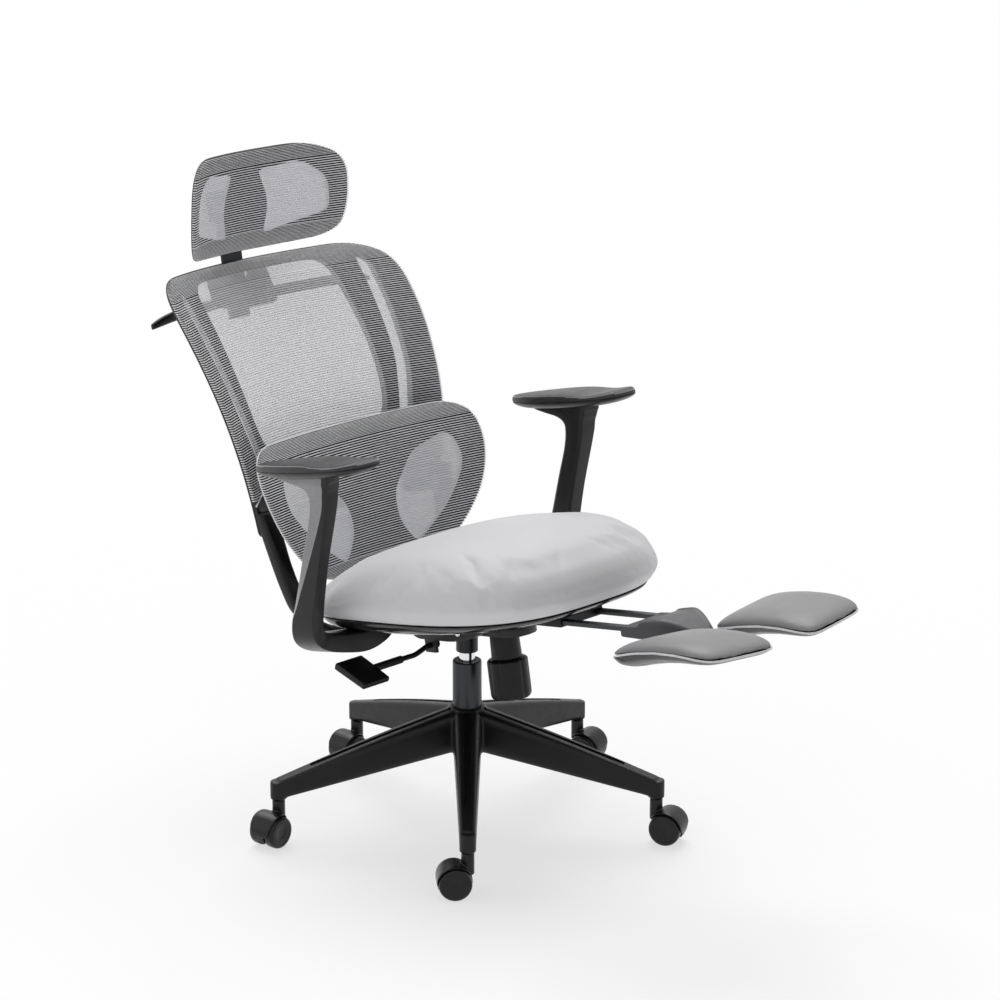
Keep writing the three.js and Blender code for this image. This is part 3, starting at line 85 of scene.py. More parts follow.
def crosswise(y, z):  # a place in the chair whose own z runs along x
    return inChair @ Matrix.Translation((0, y, z)) @ Matrix.Rotation(math.pi / 2, 4, "Y")


def facing(normal):  # a direction as the chair's own frame sees it
    return (chairTurn @ normal).normalized()


def linked(name, data):
    thing = bpy.data.objects.new(name, data)
    bpy.context.scene.collection.objects.link(thing)
    return thing


# Camera

view = {
    "place": (-4027, -4164, 2395),  # from the column's foot
    "heading": math.radians(44.6),
    "pitch": math.radians(17.42),
    "focalPixels": 3590,
    "imagePixels": 1000,
    "sensor": 36.0,
}


def makeCamera():
    data = bpy.data.cameras.new("photoCamera")
    data.sensor_width = view["sensor"]
    data.lens = view["focalPixels"] / view["imagePixels"] * view["sensor"]
    data.clip_end = 100
    camera = linked("photoCamera", data)
    level = math.cos(view["pitch"])
    forward = Vector((
        math.sin(view["heading"]) * level,
        math.cos(view["heading"]) * level,
        -math.sin(view["pitch"]),
    ))
    camera.matrix_world = (
        Matrix.Translation(onFloor @ Vector(view["place"]))
        @ forward.to_track_quat("-Z", "Y").to_matrix().to_4x4()
    )
    bpy.context.scene.camera = camera


# Shader maths

class Wire:  # one output socket, so that shader maths reads as plain expressions
    def __init__(self, owner, socket):
        self.owner = owner
        self.socket = socket

    def maths(self, operation, *values):
        return self.owner.add("ShaderNodeMath", {"operation": operation}, dict(enumerate(values)))

    def __add__(self, other):
        return self.maths("ADD", self, other)

    def __radd__(self, other):
        return self.maths("ADD", other, self)

    def __mul__(self, other):
        return self.maths("MULTIPLY", self, other)

    def __rmul__(self, other):
        return self.maths("MULTIPLY", other, self)

    def above(self, edge, softness):
        return self.owner.add(
            "ShaderNodeMapRange",
            {"interpolation_type": "SMOOTHSTEP"},
            {"Value": self, "From Min": edge - softness, "From Max": edge + softness},
        )

    def wave(self, frequency):  # between -1 and 1, that many times a metre
        return self.maths("SINE", self * (2 * math.pi * frequency))


class Nodes:  # a node tree, with one way to add any node
    def __init__(self, tree):
        self.tree = tree
        self.tree.nodes.clear()

    def add(self, kind, settings, values, output=0):
        node = self.tree.nodes.new(kind)
        for name, setting in settings.items():
            setattr(node, name, setting)
        for name, value in values.items():
            if isinstance(value, Wire):
                self.tree.links.new(value.socket, node.inputs[name])
            else:
                node.inputs[name].default_value = value
        return Wire(self, node.outputs[output]) if node.outputs else None


class Paint(Nodes):  # a material and the nodes that make it
    def __init__(self, name):
        self.material = bpy.data.materials.new(name)
        self.material.use_nodes = True
        super().__init__(self.material.node_tree)
        self.place = self.add("ShaderNodeTexCoord", {}, {}, "Object")

    def split(self, vector):
        return [self.add("ShaderNodeSeparateXYZ", {}, {"Vector": vector}, axis) for axis in "XYZ"]

    def noise(self, scale, detail=3.0, stretch=None):
        place = self.place
        if stretch:
            place = self.add("ShaderNodeMapping", {}, {"Vector": place, "Scale": stretch})
        return self.add("ShaderNodeTexNoise", {}, {"Vector": place, "Scale": scale, "Detail": detail})

    def cells(self, scale, feature="F1"):
        return self.add("ShaderNodeTexVoronoi", {"feature": feature}, {"Vector": self.place, "Scale": scale})

    def mix(self, share, first, second):
        return self.add("ShaderNodeMix", {"data_type": "RGBA"}, {0: share, 6: first, 7: second}, 2)

    def bump(self, height, depth, strength=1.0):
        return self.add("ShaderNodeBump", {}, {"Height": height, "Distance": depth, "Strength": strength})

    def surface(self, **values):
        named = {name.replace("_", " "): value for name, value in values.items()}
        shader = self.add("ShaderNodeBsdfPrincipled", {}, named)
        self.add("ShaderNodeOutputMaterial", {}, {"Surface": shader})
        return self


plastics = {  # name, darkest and lightest grey, how blue, roughness, grain, its depth in metres, coat, shine
    "base": ("satinNylon", 0.006, 0.01, 1.08, 0.4, 900, 0.00006, 0, 0.24),
    "caster": ("casterBlack", 0.006, 0.01, 1.1, 0.3, 1200, 0.00003, 0, 0.26),
    "frame": ("frameBlack", 0.009, 0.015, 1.05, 0.42, 1000, 0.00005, 0, 0.3),
    "pan": ("panGloss", 0.01, 0.016, 1.12, 0.24, 800, 0.00002, 0.2, 0.4),
    "arm": ("armGraphite", 0.011, 0.017, 1.1, 0.32, 1100, 0.00003, 0, 0.3),
    # painted highlight: a paler, glossier grey for arm faces that would catch the light
    "armFlank": ("armFlank", 0.17, 0.23, 1.08, 0.3, 1100, 0.00002, 0.3, 0.5),
    "cap": ("capGrey", 0.03, 0.045, 1.12, 0.44, 900, 0.00005, 0, 0.5),
    "armPad": ("padSkin", 0.015, 0.023, 1.08, 0.42, 1300, 0.00007, 0, 0.4),
    "grip": ("gripBlack", 0.006, 0.011, 1.05, 0.36, 1400, 0.00004, 0, 0.22),
    "housing": ("housingBlack", 0.015, 0.024, 1.1, 0.4, 500, 0.00008, 0, 0.3),
    "piping": ("palePiping", 0.62, 0.72, 1.02, 0.3, 900, 0.00002, 0, 0.5),
    # painted shade: near-black net over the frame, standing in for the shadowed gaps between ribs
    "paintedShadeNet": ("paintedShadeNet", 0.003, 0.006, 1.0, 0.9, 900, 0.00004, 0, 0.05),
}
metals = {  # name, colour, roughness, how the streaks are stretched, streaks a metre
    "rail": ("railSteel", (0.07, 0.072, 0.076, 1), 0.36, (1, 0.1, 1), 300),
    "tube": ("tubeSteel", (0.05, 0.052, 0.056, 1), 0.3, (1, 1, 0.1), 260),
    "steel": ("blackSteel", (0.035, 0.036, 0.038, 1), 0.34, (1, 1, 0.2), 300),
    "chrome": ("brightSteel", (0.82, 0.83, 0.85, 1), 0.07, (1, 1, 0.05), 240),
}


def grey(level, blue):
    return (level, level, level * blue, 1.0)


def moulded(name, dark, light, roughness, grain, depth, coat, shine):
    # Moulded plastic: clouded colour, an uneven sheen and the fine spark-eroded grain of the mould.
    paint = Paint(name)
    cloud = paint.noise(14, 4)
    fleck = paint.noise(grain, 2)
    rub = paint.noise(60, 5)
    color = paint.mix(cloud.above(0.5, 0.25) * 0.7 + fleck * 0.3, dark, light)
    sheen = rub.above(0.55, 0.2) * 0.08 + (roughness - 0.04)
    relief = paint.bump(fleck, depth)
    return paint.surface(
        Base_Color=color, Roughness=sheen, Normal=relief, Coat_Weight=coat, Coat_Roughness=0.12,
        Specular_IOR_Level=shine,
    )


def metal(name, color, roughness, stretch, streaks):
    # Turned or drawn metal with fine streaks along its length.
    paint = Paint(name)
    streak = paint.noise(streaks, 3, stretch)
    relief = paint.bump(streak, 0.00001)
    tone = paint.mix(streak, color, tuple(0.9 * level for level in color[:3]) + (1.0,))
    return paint.surface(
        Base_Color=tone, Metallic=1.0, Roughness=streak * 0.12 + roughness, Normal=relief,
    )


def cushionCloth():
    # Coated cloth: a fine pebble grain over a soft, slightly uneven grey.
    paint = Paint("cushionCloth")
    pebble = paint.cells(950)
    cloud = paint.noise(9, 4)
    weave = paint.noise(1600, 2)
    shade = cloud.above(0.5, 0.3) * 0.5 + pebble * 0.4
    color = paint.mix(shade, (0.7, 0.7, 0.712, 1), (0.63, 0.63, 0.645, 1))
    relief = paint.bump(pebble * 0.7 + weave * 0.3, 0.00022, 0.7)
    return paint.surface(
        Base_Color=color, Roughness=cloud * 0.12 + 0.5, Normal=relief,
        Sheen_Weight=0.15, Sheen_Roughness=0.5, Specular_IOR_Level=0.4,
    )


def footLeather():
    # Synthetic leather: rounded pores between shallow creases.
    paint = Paint("footLeather")
    pores = paint.cells(620)
    creases = paint.cells(210, "DISTANCE_TO_EDGE")
    cloud = paint.noise(11, 4)
    shade = cloud.above(0.5, 0.3) * 0.6 + pores * 0.3
    color = paint.mix(shade, (0.235, 0.235, 0.24, 1), (0.19, 0.19, 0.196, 1))
    relief = paint.bump(pores * 0.5 + creases.above(0.04, 0.04) * 0.5, 0.00018, 0.8)
    sheen = cloud * 0.1 + 0.36
    return paint.surface(Base_Color=color, Roughness=sheen, Normal=relief, Specular_IOR_Level=0.5)


def ribYarn():
    # Pale twisted yarn: slanting strands round each rib, and yarns of slightly different grey.
    paint = Paint("ribYarn")
    across, _, height = paint.split(paint.place)
    twist = (across + height * 1.6).wave(620)
    yarn = paint.noise(160, 2, (0.05, 1.0, 1.0))
    color = paint.mix(yarn.above(0.5, 0.2), (0.88, 0.88, 0.9, 1), (0.95, 0.95, 0.965, 1))
    relief = paint.bump(twist, 0.00012, 0.6)
    return paint.surface(Base_Color=color, Roughness=0.6, Normal=relief, Specular_IOR_Level=0.3)


def fineNet(name, threadCover, yarnCover, dark, light):
    # The net between the ribs: fine upright yarns, and the finer threads that fill the room between them.
    paint = Paint(name)
    across, _, _ = paint.split(paint.place)
    wander = paint.noise(35, 2)
    yarns = (across + wander * 0.0008).wave(420)
    alpha = yarns.above(0.45, 0.25) * (yarnCover - threadCover) + threadCover
    color = paint.mix(wander * 0.5 + yarns.above(0.3, 0.4) * 0.5, dark, light)
    return paint.surface(Base_Color=color, Roughness=0.7, Alpha=alpha)


def makePaints():
    made = {key: metal(*settings) for key, settings in metals.items()}
    for key, (name, dark, light, blue, *settings) in plastics.items():
        made[key] = moulded(name, grey(dark, blue), grey(light, blue), *settings)
    made["board"] = moulded(
        "plyBoard", (0.36, 0.25, 0.14, 1), (0.5, 0.37, 0.22, 1), 0.6, 260, 0.0001, 0, 0.5)
    made["rib"] = ribYarn()
    made["openNet"] = fineNet("openNet", 0.44, 0.72, (0.68, 0.675, 0.72, 1), (0.78, 0.775, 0.82, 1))
    made["closeNet"] = fineNet("closeNet", 0.84, 0.95, (0.78, 0.775, 0.82, 1), (0.88, 0.875, 0.92, 1))
    made["cushion"] = cushionCloth()
    made["footPad"] = footLeather()
    return made


# Mesh helpers

def addPiece(name, points, faces, paint, place=inChair, sharpAngle=softAngle):
    mesh = bpy.data.meshes.new(name)
    mesh.from_pydata([tuple(place @ Vector(spot)) for spot in points], [], [tuple(face) for face in faces])
    mesh.validate()
    return dressed(name, mesh, paint, sharpAngle)


def dressed(name, mesh, paint, sharpAngle=softAngle):
    piece = linked(name, mesh)
    finishMesh(piece, paint, sharpAngle)
    return piece


def meshFrom(build, name):
    mesh = bpy.data.meshes.new(name)
    build.to_mesh(mesh)
    build.free()
    return mesh


def modified(piece, kind, **settings):
    modifier = piece.modifiers.new(kind.lower(), kind)
    for name, value in settings.items():
        setattr(modifier, name, value)
    return modifier


def finishMesh(piece, paint, sharpAngle=softAngle):
    mesh = piece.data
    build = bmesh.new()
    build.from_mesh(mesh)
    bmesh.ops.remove_doubles(build, verts=build.verts, dist=1e-6)
    bmesh.ops.recalc_face_normals(build, faces=build.faces)
    build.to_mesh(mesh)
    build.free()
    mesh.materials.clear()
    mesh.materials.append(paint.material)
    mesh.shade_smooth()
    mesh.set_sharp_from_angle(angle=math.radians(sharpAngle))


def settle(piece, paint=None, sharpAngle=softAngle):
    # The piece's modifiers become plain mesh.
    bpy.context.view_layer.update()
    graph = bpy.context.evaluated_depsgraph_get()
    fresh = bpy.data.meshes.new_from_object(piece.evaluated_get(graph))
    piece.modifiers.clear()
    old = piece.data
    piece.data = fresh
    bpy.data.meshes.remove(old)
    if paint:
        finishMesh(piece, paint, sharpAngle)
    return piece


def merged(name, pieces, paint, sharpAngle=softAngle):
    # Several pieces as one object, their closed shells side by side.
    build = bmesh.new()
    for piece in pieces:
        build.from_mesh(piece.data)
    for piece in pieces:
        bpy.data.objects.remove(piece)
    return dressed(name, meshFrom(build, name), paint, sharpAngle)


def fused(piece, paint, settings, sharpAngle=60):
    # Overlapping shells melt into one moulding with soft inner corners.
    modified(piece, "REMESH", mode="VOXEL", voxel_size=settings["voxel"] * mm)
    modified(piece, "SMOOTH", factor=0.5, iterations=settings["smoothing"])
    return settle(piece, paint, sharpAngle)


def carve(piece, tools, paint, sharpAngle=softAngle):
    for tool in tools:
        modified(piece, "BOOLEAN", operation="DIFFERENCE", solver="EXACT", object=tool)
    settle(piece, paint, sharpAngle)
    for tool in tools:
        bpy.data.objects.remove(tool)
    return piece


def loftFaces(ringCount, pointCount, closedEnds=True):
    faces = []
    for ring in range(ringCount - 1):
        for i in range(pointCount):
            a = ring * pointCount + i
            b = ring * pointCount + (i + 1) % pointCount
            faces.append((a, b, b + pointCount, a + pointCount))
    if closedEnds:
        last = (ringCount - 1) * pointCount
        faces.append(tuple(reversed(range(pointCount))))
        faces.append(tuple(range(last, last + pointCount)))
    return faces


def loft(name, rings, paint, place=inChair, sharpAngle=softAngle):
    points = [spot for ring in rings for spot in ring]
    return addPiece(name, points, loftFaces(len(rings), len(rings[0])), paint, place, sharpAngle)


def between(stations, count):
    # Rows of numbers joined by a smooth curve through each column.
    table = np.array(stations, float)
    last = len(table) - 1
    rows = []
    for spot in np.linspace(0, last, count):
        i = min(int(spot), last - 1)
        t = spot - i
        before, start = table[max(i - 1, 0)], table[i]
        end, after = table[i + 1], table[min(i + 2, last)]
        startPull = (end - before) / 2
        endPull = (after - start) / 2
        rows.append(
            (2 * t**3 - 3 * t**2 + 1) * start
            + (t**3 - 2 * t**2 + t) * startPull
            + (3 * t**2 - 2 * t**3) * end
            + (t**3 - t**2) * endPull
        )
    return rows


def superRing(centre, first, second, exponent, count):
    centre, first, second = (np.array(v, float) for v in (centre, first, second))
    turns = np.linspace(0, 2 * np.pi, count, endpoint=False)
    along = np.sign(np.cos(turns)) * np.abs(np.cos(turns)) ** (2 / exponent)
    across = np.sign(np.sin(turns)) * np.abs(np.sin(turns)) ** (2 / exponent)
    return [tuple(centre + a * first + b * second) for a, b in zip(along, across)]


def turnedPiece(name, profile, paint, place, sides=roundness["large"], sharpAngle=softAngle):
    # A profile of (radius, height) spun about the place's own z axis.
    rings = []
    for radius, height in profile:
        turns = np.linspace(0, 2 * np.pi, sides, endpoint=False)
        rings.append([(radius * math.cos(t), radius * math.sin(t), height) for t in turns])
    return loft(name, rings, paint, place, sharpAngle)


def cylinder(name, radius, low, high, paint, place, sides=roundness["large"]):
    return turnedPiece(name, [(0, low), (radius, low), (radius, high), (0, high)], paint, place, sides)


def block(name, low, high, paint, place=inChair):
    plan = [(low[0], low[1]), (high[0], low[1]), (high[0], high[1]), (low[0], high[1])]
    return loft(name, [[(x, y, z) for x, y in plan] for z in (low[2], high[2])], paint, place)


def curvedCorner(here, others, rounding, most, steps):
    # A soft corner between two straight edges.
    ends = []
    for other in others:
        way = np.array(other[:2], float) - here
        ends.append(here + way * min(rounding / np.linalg.norm(way), most))
    return [tuple((1 - t) ** 2 * ends[0] + 2 * t * (1 - t) * here + t**2 * ends[1])
            for t in np.linspace(0, 1, steps)]


def softProfile(corners, radius, steps=5):
    # A polyline of (radius, height) with each inner corner rounded.
    rounded = [corners[0]]
    for before, corner, after in zip(corners, corners[1:], corners[2:]):
        rounded += curvedCorner(np.array(corner, float), (before, after), radius, 0.45, steps)
    rounded.append(corners[-1])
    return rounded


def roundedOutline(corners, steps=8, most=0.48):
    # Corners of (x, y, rounding) joined by straight edges and soft corners.
    outline = []
    for i, (x, y, rounding) in enumerate(corners):
        neighbours = (corners[i - 1], corners[(i + 1) % len(corners)])
        outline += curvedCorner(np.array((x, y), float), neighbours, rounding, most, steps)
    return outline


def evenly(outline, spacing):
    # The same closed outline with its points at even steps.
    spots = np.array(outline + outline[:1], float)
    steps = np.linalg.norm(np.diff(spots, axis=0), axis=1)
    travelled = np.concatenate(([0], np.cumsum(steps)))
    count = max(12, int(travelled[-1] / spacing))
    marks = np.linspace(0, travelled[-1], count, endpoint=False)
    return np.column_stack([np.interp(marks, travelled, spots[:, axis]) for axis in (0, 1)])


def turnedLeft(outline, left=True):
    # The same points, running anticlockwise or, for a hole, clockwise.
    x, y = outline[:, 0], outline[:, 1]
    isLeft = np.sum(x * np.roll(y, -1) - np.roll(x, -1) * y) > 0
    return outline if isLeft == left else outline[::-1]


def shrunk(outline, distance):
    # The outline moved inward; a hole's outline, which turns the other way, moves outward.
    ahead = np.roll(outline, -1, axis=0) - np.roll(outline, 1, axis=0)
    normal = np.column_stack([-ahead[:, 1], ahead[:, 0]])
    normal /= np.maximum(np.linalg.norm(normal, axis=1), 1e-9)[:, None]
    return outline + distance * normal


def cutAcross(build, axis, marks):
    # Level cuts give a flat face the points that it bends at.
    normal = (1, 0, 0) if axis == 0 else (0, 1, 0)
    for mark in marks:
        spot = (mark, 0, 0) if axis == 0 else (0, mark, 0)
        everything = build.verts[:] + build.edges[:] + build.faces[:]
        bmesh.ops.bisect_plane(build, geom=everything, plane_co=spot, plane_no=normal, dist=1e-4)


def slab(name, outline, holes, low, high, edge, shape, paint, place=inChair, grid=None, spacing=4.0,
         edgeSteps=4):
    # A closed plate within an outline and round its holes, with rounded edges, bent by a shape function:
    # shape(a, b, depth) gives the place of outline point (a, b) at that depth of the plate.
    loops = [turnedLeft(evenly(outline, spacing))]
    loops += [turnedLeft(evenly(hole, spacing), False) for hole in holes]
    quarter = np.linspace(0, math.pi / 2, edgeSteps + 1)
    levels = [(edge * (1 - math.sin(t)), low + edge * (1 - math.cos(t))) for t in quarter]
    levels += [(edge * (1 - math.sin(t)), high - edge * (1 - math.cos(t))) for t in reversed(quarter)]
    build = bmesh.new()
    rims = {"low": [], "high": []}
    for points in loops:
        rings = []
        for inset, depth in levels:
            ring = [build.verts.new((a, b, depth)) for a, b in shrunk(points, inset)]
            rings.append(ring)
        count = len(points)
        for lower, upper in zip(rings, rings[1:]):
            for i in range(count):
                j = (i + 1) % count
                build.faces.new((lower[i], lower[j], upper[j], upper[i]))
        for key, ring in (("low", rings[0]), ("high", rings[-1])):
            for i in range(count):
                rims[key].append(build.edges.get((ring[i], ring[(i + 1) % count])))
    for key in rims:
        bmesh.ops.triangle_fill(build, edges=rims[key], use_beauty=True)
    if grid:
        spread = np.vstack(loops)
        for axis in (0, 1):
            start, end = spread[:, axis].min(), spread[:, axis].max()
            cutAcross(build, axis, np.arange(start + grid / 2, end, grid))
    for vertex in build.verts:
        vertex.co = place @ Vector(shape(*vertex.co))
    return dressed(name, meshFrom(build, name), paint)


def flatAcross(a, b, depth):
    # Outline in y and z, thickness along x.
    return depth, a, b


def mirroredCorners(corners):
    return [(-x, *rest) for x, *rest in reversed(corners)]


def bothSides(corners):
    return [*corners, *mirroredCorners(corners)]


def copied(name, piece, matrix, paint, sharpAngle=softAngle):
    mesh = piece.data.copy()
    mesh.transform(matrix)
    return dressed(name, mesh, paint, sharpAngle)


def reflected(name, piece, paint, sharpAngle=softAngle):
    # A copy on the other side of the chair's middle plane.
    flip = inChair @ Matrix.Scale(-1, 4, Vector((1, 0, 0))) @ inChair.inverted()
    return copied(name, piece, flip, paint, sharpAngle)


def wear(piece, body, slotName, *nodes):
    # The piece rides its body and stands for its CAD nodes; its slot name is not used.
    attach(piece, body)
    if nodes:
        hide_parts(*nodes)
    return piece


def sweepTree(name):
    # Geometry Nodes: every line of the mesh becomes a round tube.
    tree = bpy.data.node_groups.new(name, "GeometryNodeTree")
    tree.interface.new_socket("Lines", in_out="INPUT", socket_type="NodeSocketGeometry")
    radius = tree.interface.new_socket("Radius", in_out="INPUT", socket_type="NodeSocketFloat")
    sides = tree.interface.new_socket("Sides", in_out="INPUT", socket_type="NodeSocketInt")
    finish = tree.interface.new_socket("Material", in_out="INPUT", socket_type="NodeSocketMaterial")
    tree.interface.new_socket("Tubes", in_out="OUTPUT", socket_type="NodeSocketGeometry")
    kit = Nodes(tree)
    given = {key: kit.add("NodeGroupInput", {}, {}, key) for key in ("Lines", "Radius", "Sides", "Material")}
    curve = kit.add("GeometryNodeMeshToCurve", {}, {"Mesh": given["Lines"]})
    circle = kit.add(
        "GeometryNodeCurvePrimitiveCircle", {}, {"Radius": given["Radius"], "Resolution": given["Sides"]})
    swept = kit.add(
        "GeometryNodeCurveToMesh", {}, {"Curve": curve, "Profile Curve": circle, "Fill Caps": True})
    real = kit.add("GeometryNodeRealizeInstances", {}, {"Geometry": swept})
    finished = kit.add("GeometryNodeSetMaterial", {}, {"Geometry": real, "Material": given["Material"]})
    kit.add("NodeGroupOutput", {}, {"Tubes": finished})
    return tree, {"Radius": radius.identifier, "Sides": sides.identifier, "Material": finish.identifier}


def sweptLines(name, lines, radius, sides, paint, place=inChair, closed=False):
    points, edges = [], []
    for line in lines:
        first = len(points)
        points.extend(tuple(place @ Vector(spot)) for spot in line)
        edges.extend((first + i, first + i + 1) for i in range(len(line) - 1))
        if closed:
            edges.append((len(points) - 1, first))
    mesh = bpy.data.meshes.new(name)
    mesh.from_pydata(points, edges, [])
    piece = linked(name, mesh)
    tree, inputs = sweep
    modifier = modified(piece, "NODES", node_group=tree)
    modifier[inputs["Radius"]] = radius * mm
    modifier[inputs["Sides"]] = sides
    modifier[inputs["Material"]] = paint.material
    return settle(piece, paint, 80)


paints = makePaints()
sweep = sweepTree("ribSweep")
makeCamera()
print("camera and materials ready")


# Star base

star = {
    "legs": 5,
    "firstLeg": -134,  # degrees from +x
    "rootRadius": 26,
    "stemCircle": 338.5,
    "top": (205, 114),  # at the root and at the tip
    "bottom": (130, 80),
    "halfWidth": (25, 14),
    "crown": 3,  # how far the leg's top line arches
    "exponent": 4.5,
    "wall": 4,
    "hollow": (0.2, 0.4, 0.7),  # shares of the leg
    "hub": [(0, 128), (37, 128), (37, 190), (33.5, 197), (31.5, 202), (31.5, 209), (0, 209)],
    "stemBlock": [(0, 78), (14, 78), (14, 111), (0, 111)],
    "tubeRoom": 25.6,
    "grooveStart": 5,
    "grooveHalfWidth": 5,
    "grooveDepth": 2.5,
    "grooveEnd": 0.83,  # share of the leg
    "grooveEndRadius": 7,
    "grooveFlare": (5, 3, 0.6, 0.95),  # where it starts and ends before the round end, its widths there
    "hubRounding": 4, "blockRounding": 2,
    "rings": 14, "points": 40, "voxel": 2.0, "smoothing": 5, "crease": 35,
}


def legPlace(index):
    turn = math.radians(star["firstLeg"] + 360 / star["legs"] * index)
    return onFloor @ Matrix.Rotation(turn, 4, "Z")


def legRing(share, wall=0.0):
    radius = star["rootRadius"] + share * (star["stemCircle"] - star["rootRadius"])
    top, bottom, half = (a + share * (b - a) for a, b in (star["top"], star["bottom"], star["halfWidth"]))
    top += star["crown"] * math.sin(math.pi * share) - 2 * wall
    bottom -= wall
    middle, tall = (top + bottom) / 2, (top - bottom) / 2
    return superRing((radius, 0, middle), (0, half - wall, 0), (0, 0, tall), star["exponent"], star["points"])


def grooveOutline(length):
    half, wide = star["grooveHalfWidth"], star["grooveEndRadius"]
    before, after, flare, last = star["grooveFlare"]
    rightSide = [
        (star["grooveStart"], -half), (length - before * wide, -half),
        (length - after * wide, -half - flare), (length - wide, -last * wide),
    ]
    turns = np.linspace(-math.pi / 2, math.pi / 2, 17)[1:-1]
    end = [(length + wide * math.cos(t), wide * math.sin(t)) for t in turns]
    leftSide = [(x, -y) for x, y in reversed(rightSide)]
    return rightSide + end + leftSide


def makeStar():
    paint = paints["base"]
    shells = [turnedPiece("hub", softProfile(star["hub"], star["hubRounding"]), paint, onFloor)]
    tools = []
    run = star["stemCircle"] - star["rootRadius"]
    slope = math.atan2(star["top"][0] - star["top"][1], run)
    for i in range(star["legs"]):
        place = legPlace(i)
        leg = [legRing(share) for share in np.linspace(0, 1, star["rings"])]
        shells.append(loft("leg", leg, paint, place))
        stemPlace = place @ Matrix.Translation((star["stemCircle"], 0, 0))
        profile = softProfile(star["stemBlock"], star["blockRounding"])
        shells.append(turnedPiece("stemBlock", profile, paint, stemPlace, roundness["small"]))
        hollow = [legRing(share, star["wall"]) for share in star["hollow"]]
        tools.append(loft("hollow", hollow, paint, place))
        along = place @ Matrix.Translation((star["rootRadius"], 0, star["top"][0] + star["crown"] / 2))
        along = along @ Matrix.Rotation(slope, 4, "Y")
        outline = grooveOutline(star["grooveEnd"] * run)
        rings = [[(x, y, z) for x, y in outline] for z in (-star["grooveDepth"], 3 * star["wall"])]
        tools.append(loft("groove", rings, paint, along))
    whole = fused(merged("baseLook", shells, paint), paint, star)
    low, high = star["hub"][0][1] - star["wall"], star["hub"][-1][1] + star["wall"]
    tools.append(cylinder("tubeRoom", star["tubeRoom"], low, high, paint, onFloor))
    carve(whole, [merged("starTools", tools, paint)], paint, star["crease"])
    return wear(whole, "base", "nylon", "base_star")


# Casters

caster = {
    "trail": 22,
    "turns": [-85, 67, 60, -45, -38],  # degrees from the first leg's direction
    "wheelHeight": 28,
    "wheel": [  # radius and distance from the caster's middle plane
        (0, 8.3), (26.5, 8.3), (28, 9.8), (28, 20.5), (26.4, 24.4), (23, 26), (20.6, 26), (20.2, 25.3),
        (19.2, 25.3), (18.6, 25.7), (9, 24.6), (8.4, 23.9), (0, 23.7),
    ],
    "axle": (4, 8.5),  # radius and half length
    "disc": (29.6, 7.9),
    "collar": [(0, 40), (11, 40), (11, 75), (9.5, 77.6), (0, 77.6)],
    "fender": [  # degrees round the wheel from behind, half width, thickness
        (-8, 13, 0.8), (6, 19, 1.6), (30, 22.5, 2.6), (70, 23.5, 3.0), (110, 22, 2.8), (140, 17, 1.8),
        (152, 12, 1.0),
    ],
    "fenderInside": 29.3,
    "foot": 15,  # lowest point of the hood
    "wheelSides": 64, "wheelRounding": 0.9, "fenderExponent": 3.5,
    "rings": 30, "voxel": 1.1, "smoothing": 3, "crease": 35,
}


def casterPlace(index):
    angle = math.radians(star["firstLeg"] + 360 / star["legs"] * index)
    stem = (star["stemCircle"] * math.cos(angle), star["stemCircle"] * math.sin(angle), 0)
    turn = math.radians(star["firstLeg"] + caster["turns"][index])
    return onFloor @ Matrix.Translation(stem) @ Matrix.Rotation(turn, 4, "Z")


def makeCasters():
    paint = paints["caster"]
    hub = Matrix.Translation((caster["trail"], 0, caster["wheelHeight"]))
    small = Matrix.Scale(mm, 4)
    wheels = []
    for quarter in (-1, 1):
        side = small @ hub @ Matrix.Rotation(quarter * math.pi / 2, 4, "X")
        profile = softProfile(caster["wheel"], caster["wheelRounding"], 3)
        wheels.append(turnedPiece("wheel", profile, paint, side, caster["wheelSides"]))
    across = small @ hub @ Matrix.Rotation(math.pi / 2, 4, "X")
    radius, half = caster["axle"]
    wheels.append(cylinder("axle", radius, -half, half, paint, across, roundness["tiny"]))
    wheelPair = merged("wheelPair", wheels, paint)
    radius, half = caster["disc"]
    shells = [
        cylinder("disc", radius, -half, half, paint, across),
        turnedPiece("collar", caster["collar"], paint, small, roundness["middle"]),
    ]
    rings = []
    for degrees, half, thickness in between(caster["fender"], caster["rings"]):
        turn = math.radians(degrees)
        out = np.array((math.cos(turn), 0, math.sin(turn)))
        centre = out * (caster["fenderInside"] + thickness / 2)
        rings.append(superRing(centre, (0, half, 0), out * thickness / 2, caster["fenderExponent"],
                               roundness["small"]))
    shells.append(loft("fender", rings, paint, small @ hub))
    hood = fused(merged("hood", shells, paint), paint, caster)
    reach = 3 * caster["wheelHeight"]
    below = block("below", (-reach, -reach, -reach), (reach, reach, caster["foot"]), paint, small)
    carve(hood, [below], paint, caster["crease"])
    for i in range(star["legs"]):
        place = casterPlace(i) @ Matrix.Scale(1 / mm, 4)
        number = str(i + 1)
        hoodLook = copied("casterHoodLook" + number, hood, place, paint, caster["crease"])
        wear(hoodLook, "caster_swivel_" + number, "caster", "caster_hood_" + number)
        wheelsLook = copied("casterWheelsLook" + number, wheelPair, place, paint)
        wear(wheelsLook, "caster_roll_" + number, "caster", "caster_wheels_" + number)
    for source in (hood, wheelPair):
        bpy.data.objects.remove(source)


# Gas lift

lift = {
    "tube": [(0, 118), (25, 118), (25, 289), (23.5, 291), (15, 291), (14.4, 289), (14.4, 257), (0, 257)],
    "piston": (14, 272, 344),  # radius, foot and top
    "rounding": 1,
}


def makeLift():
    outer = turnedPiece("tubeLook", softProfile(lift["tube"], lift["rounding"]), paints["tube"], onFloor)
    wear(outer, "base", "black_steel", "gas_tube")
    piston = cylinder("pistonLook", *lift["piston"], paints["chrome"], onFloor)
    wear(piston, "lift", "bright_steel", "gas_piston")


# Mechanism under the seat: the CAD solids with their edges broken

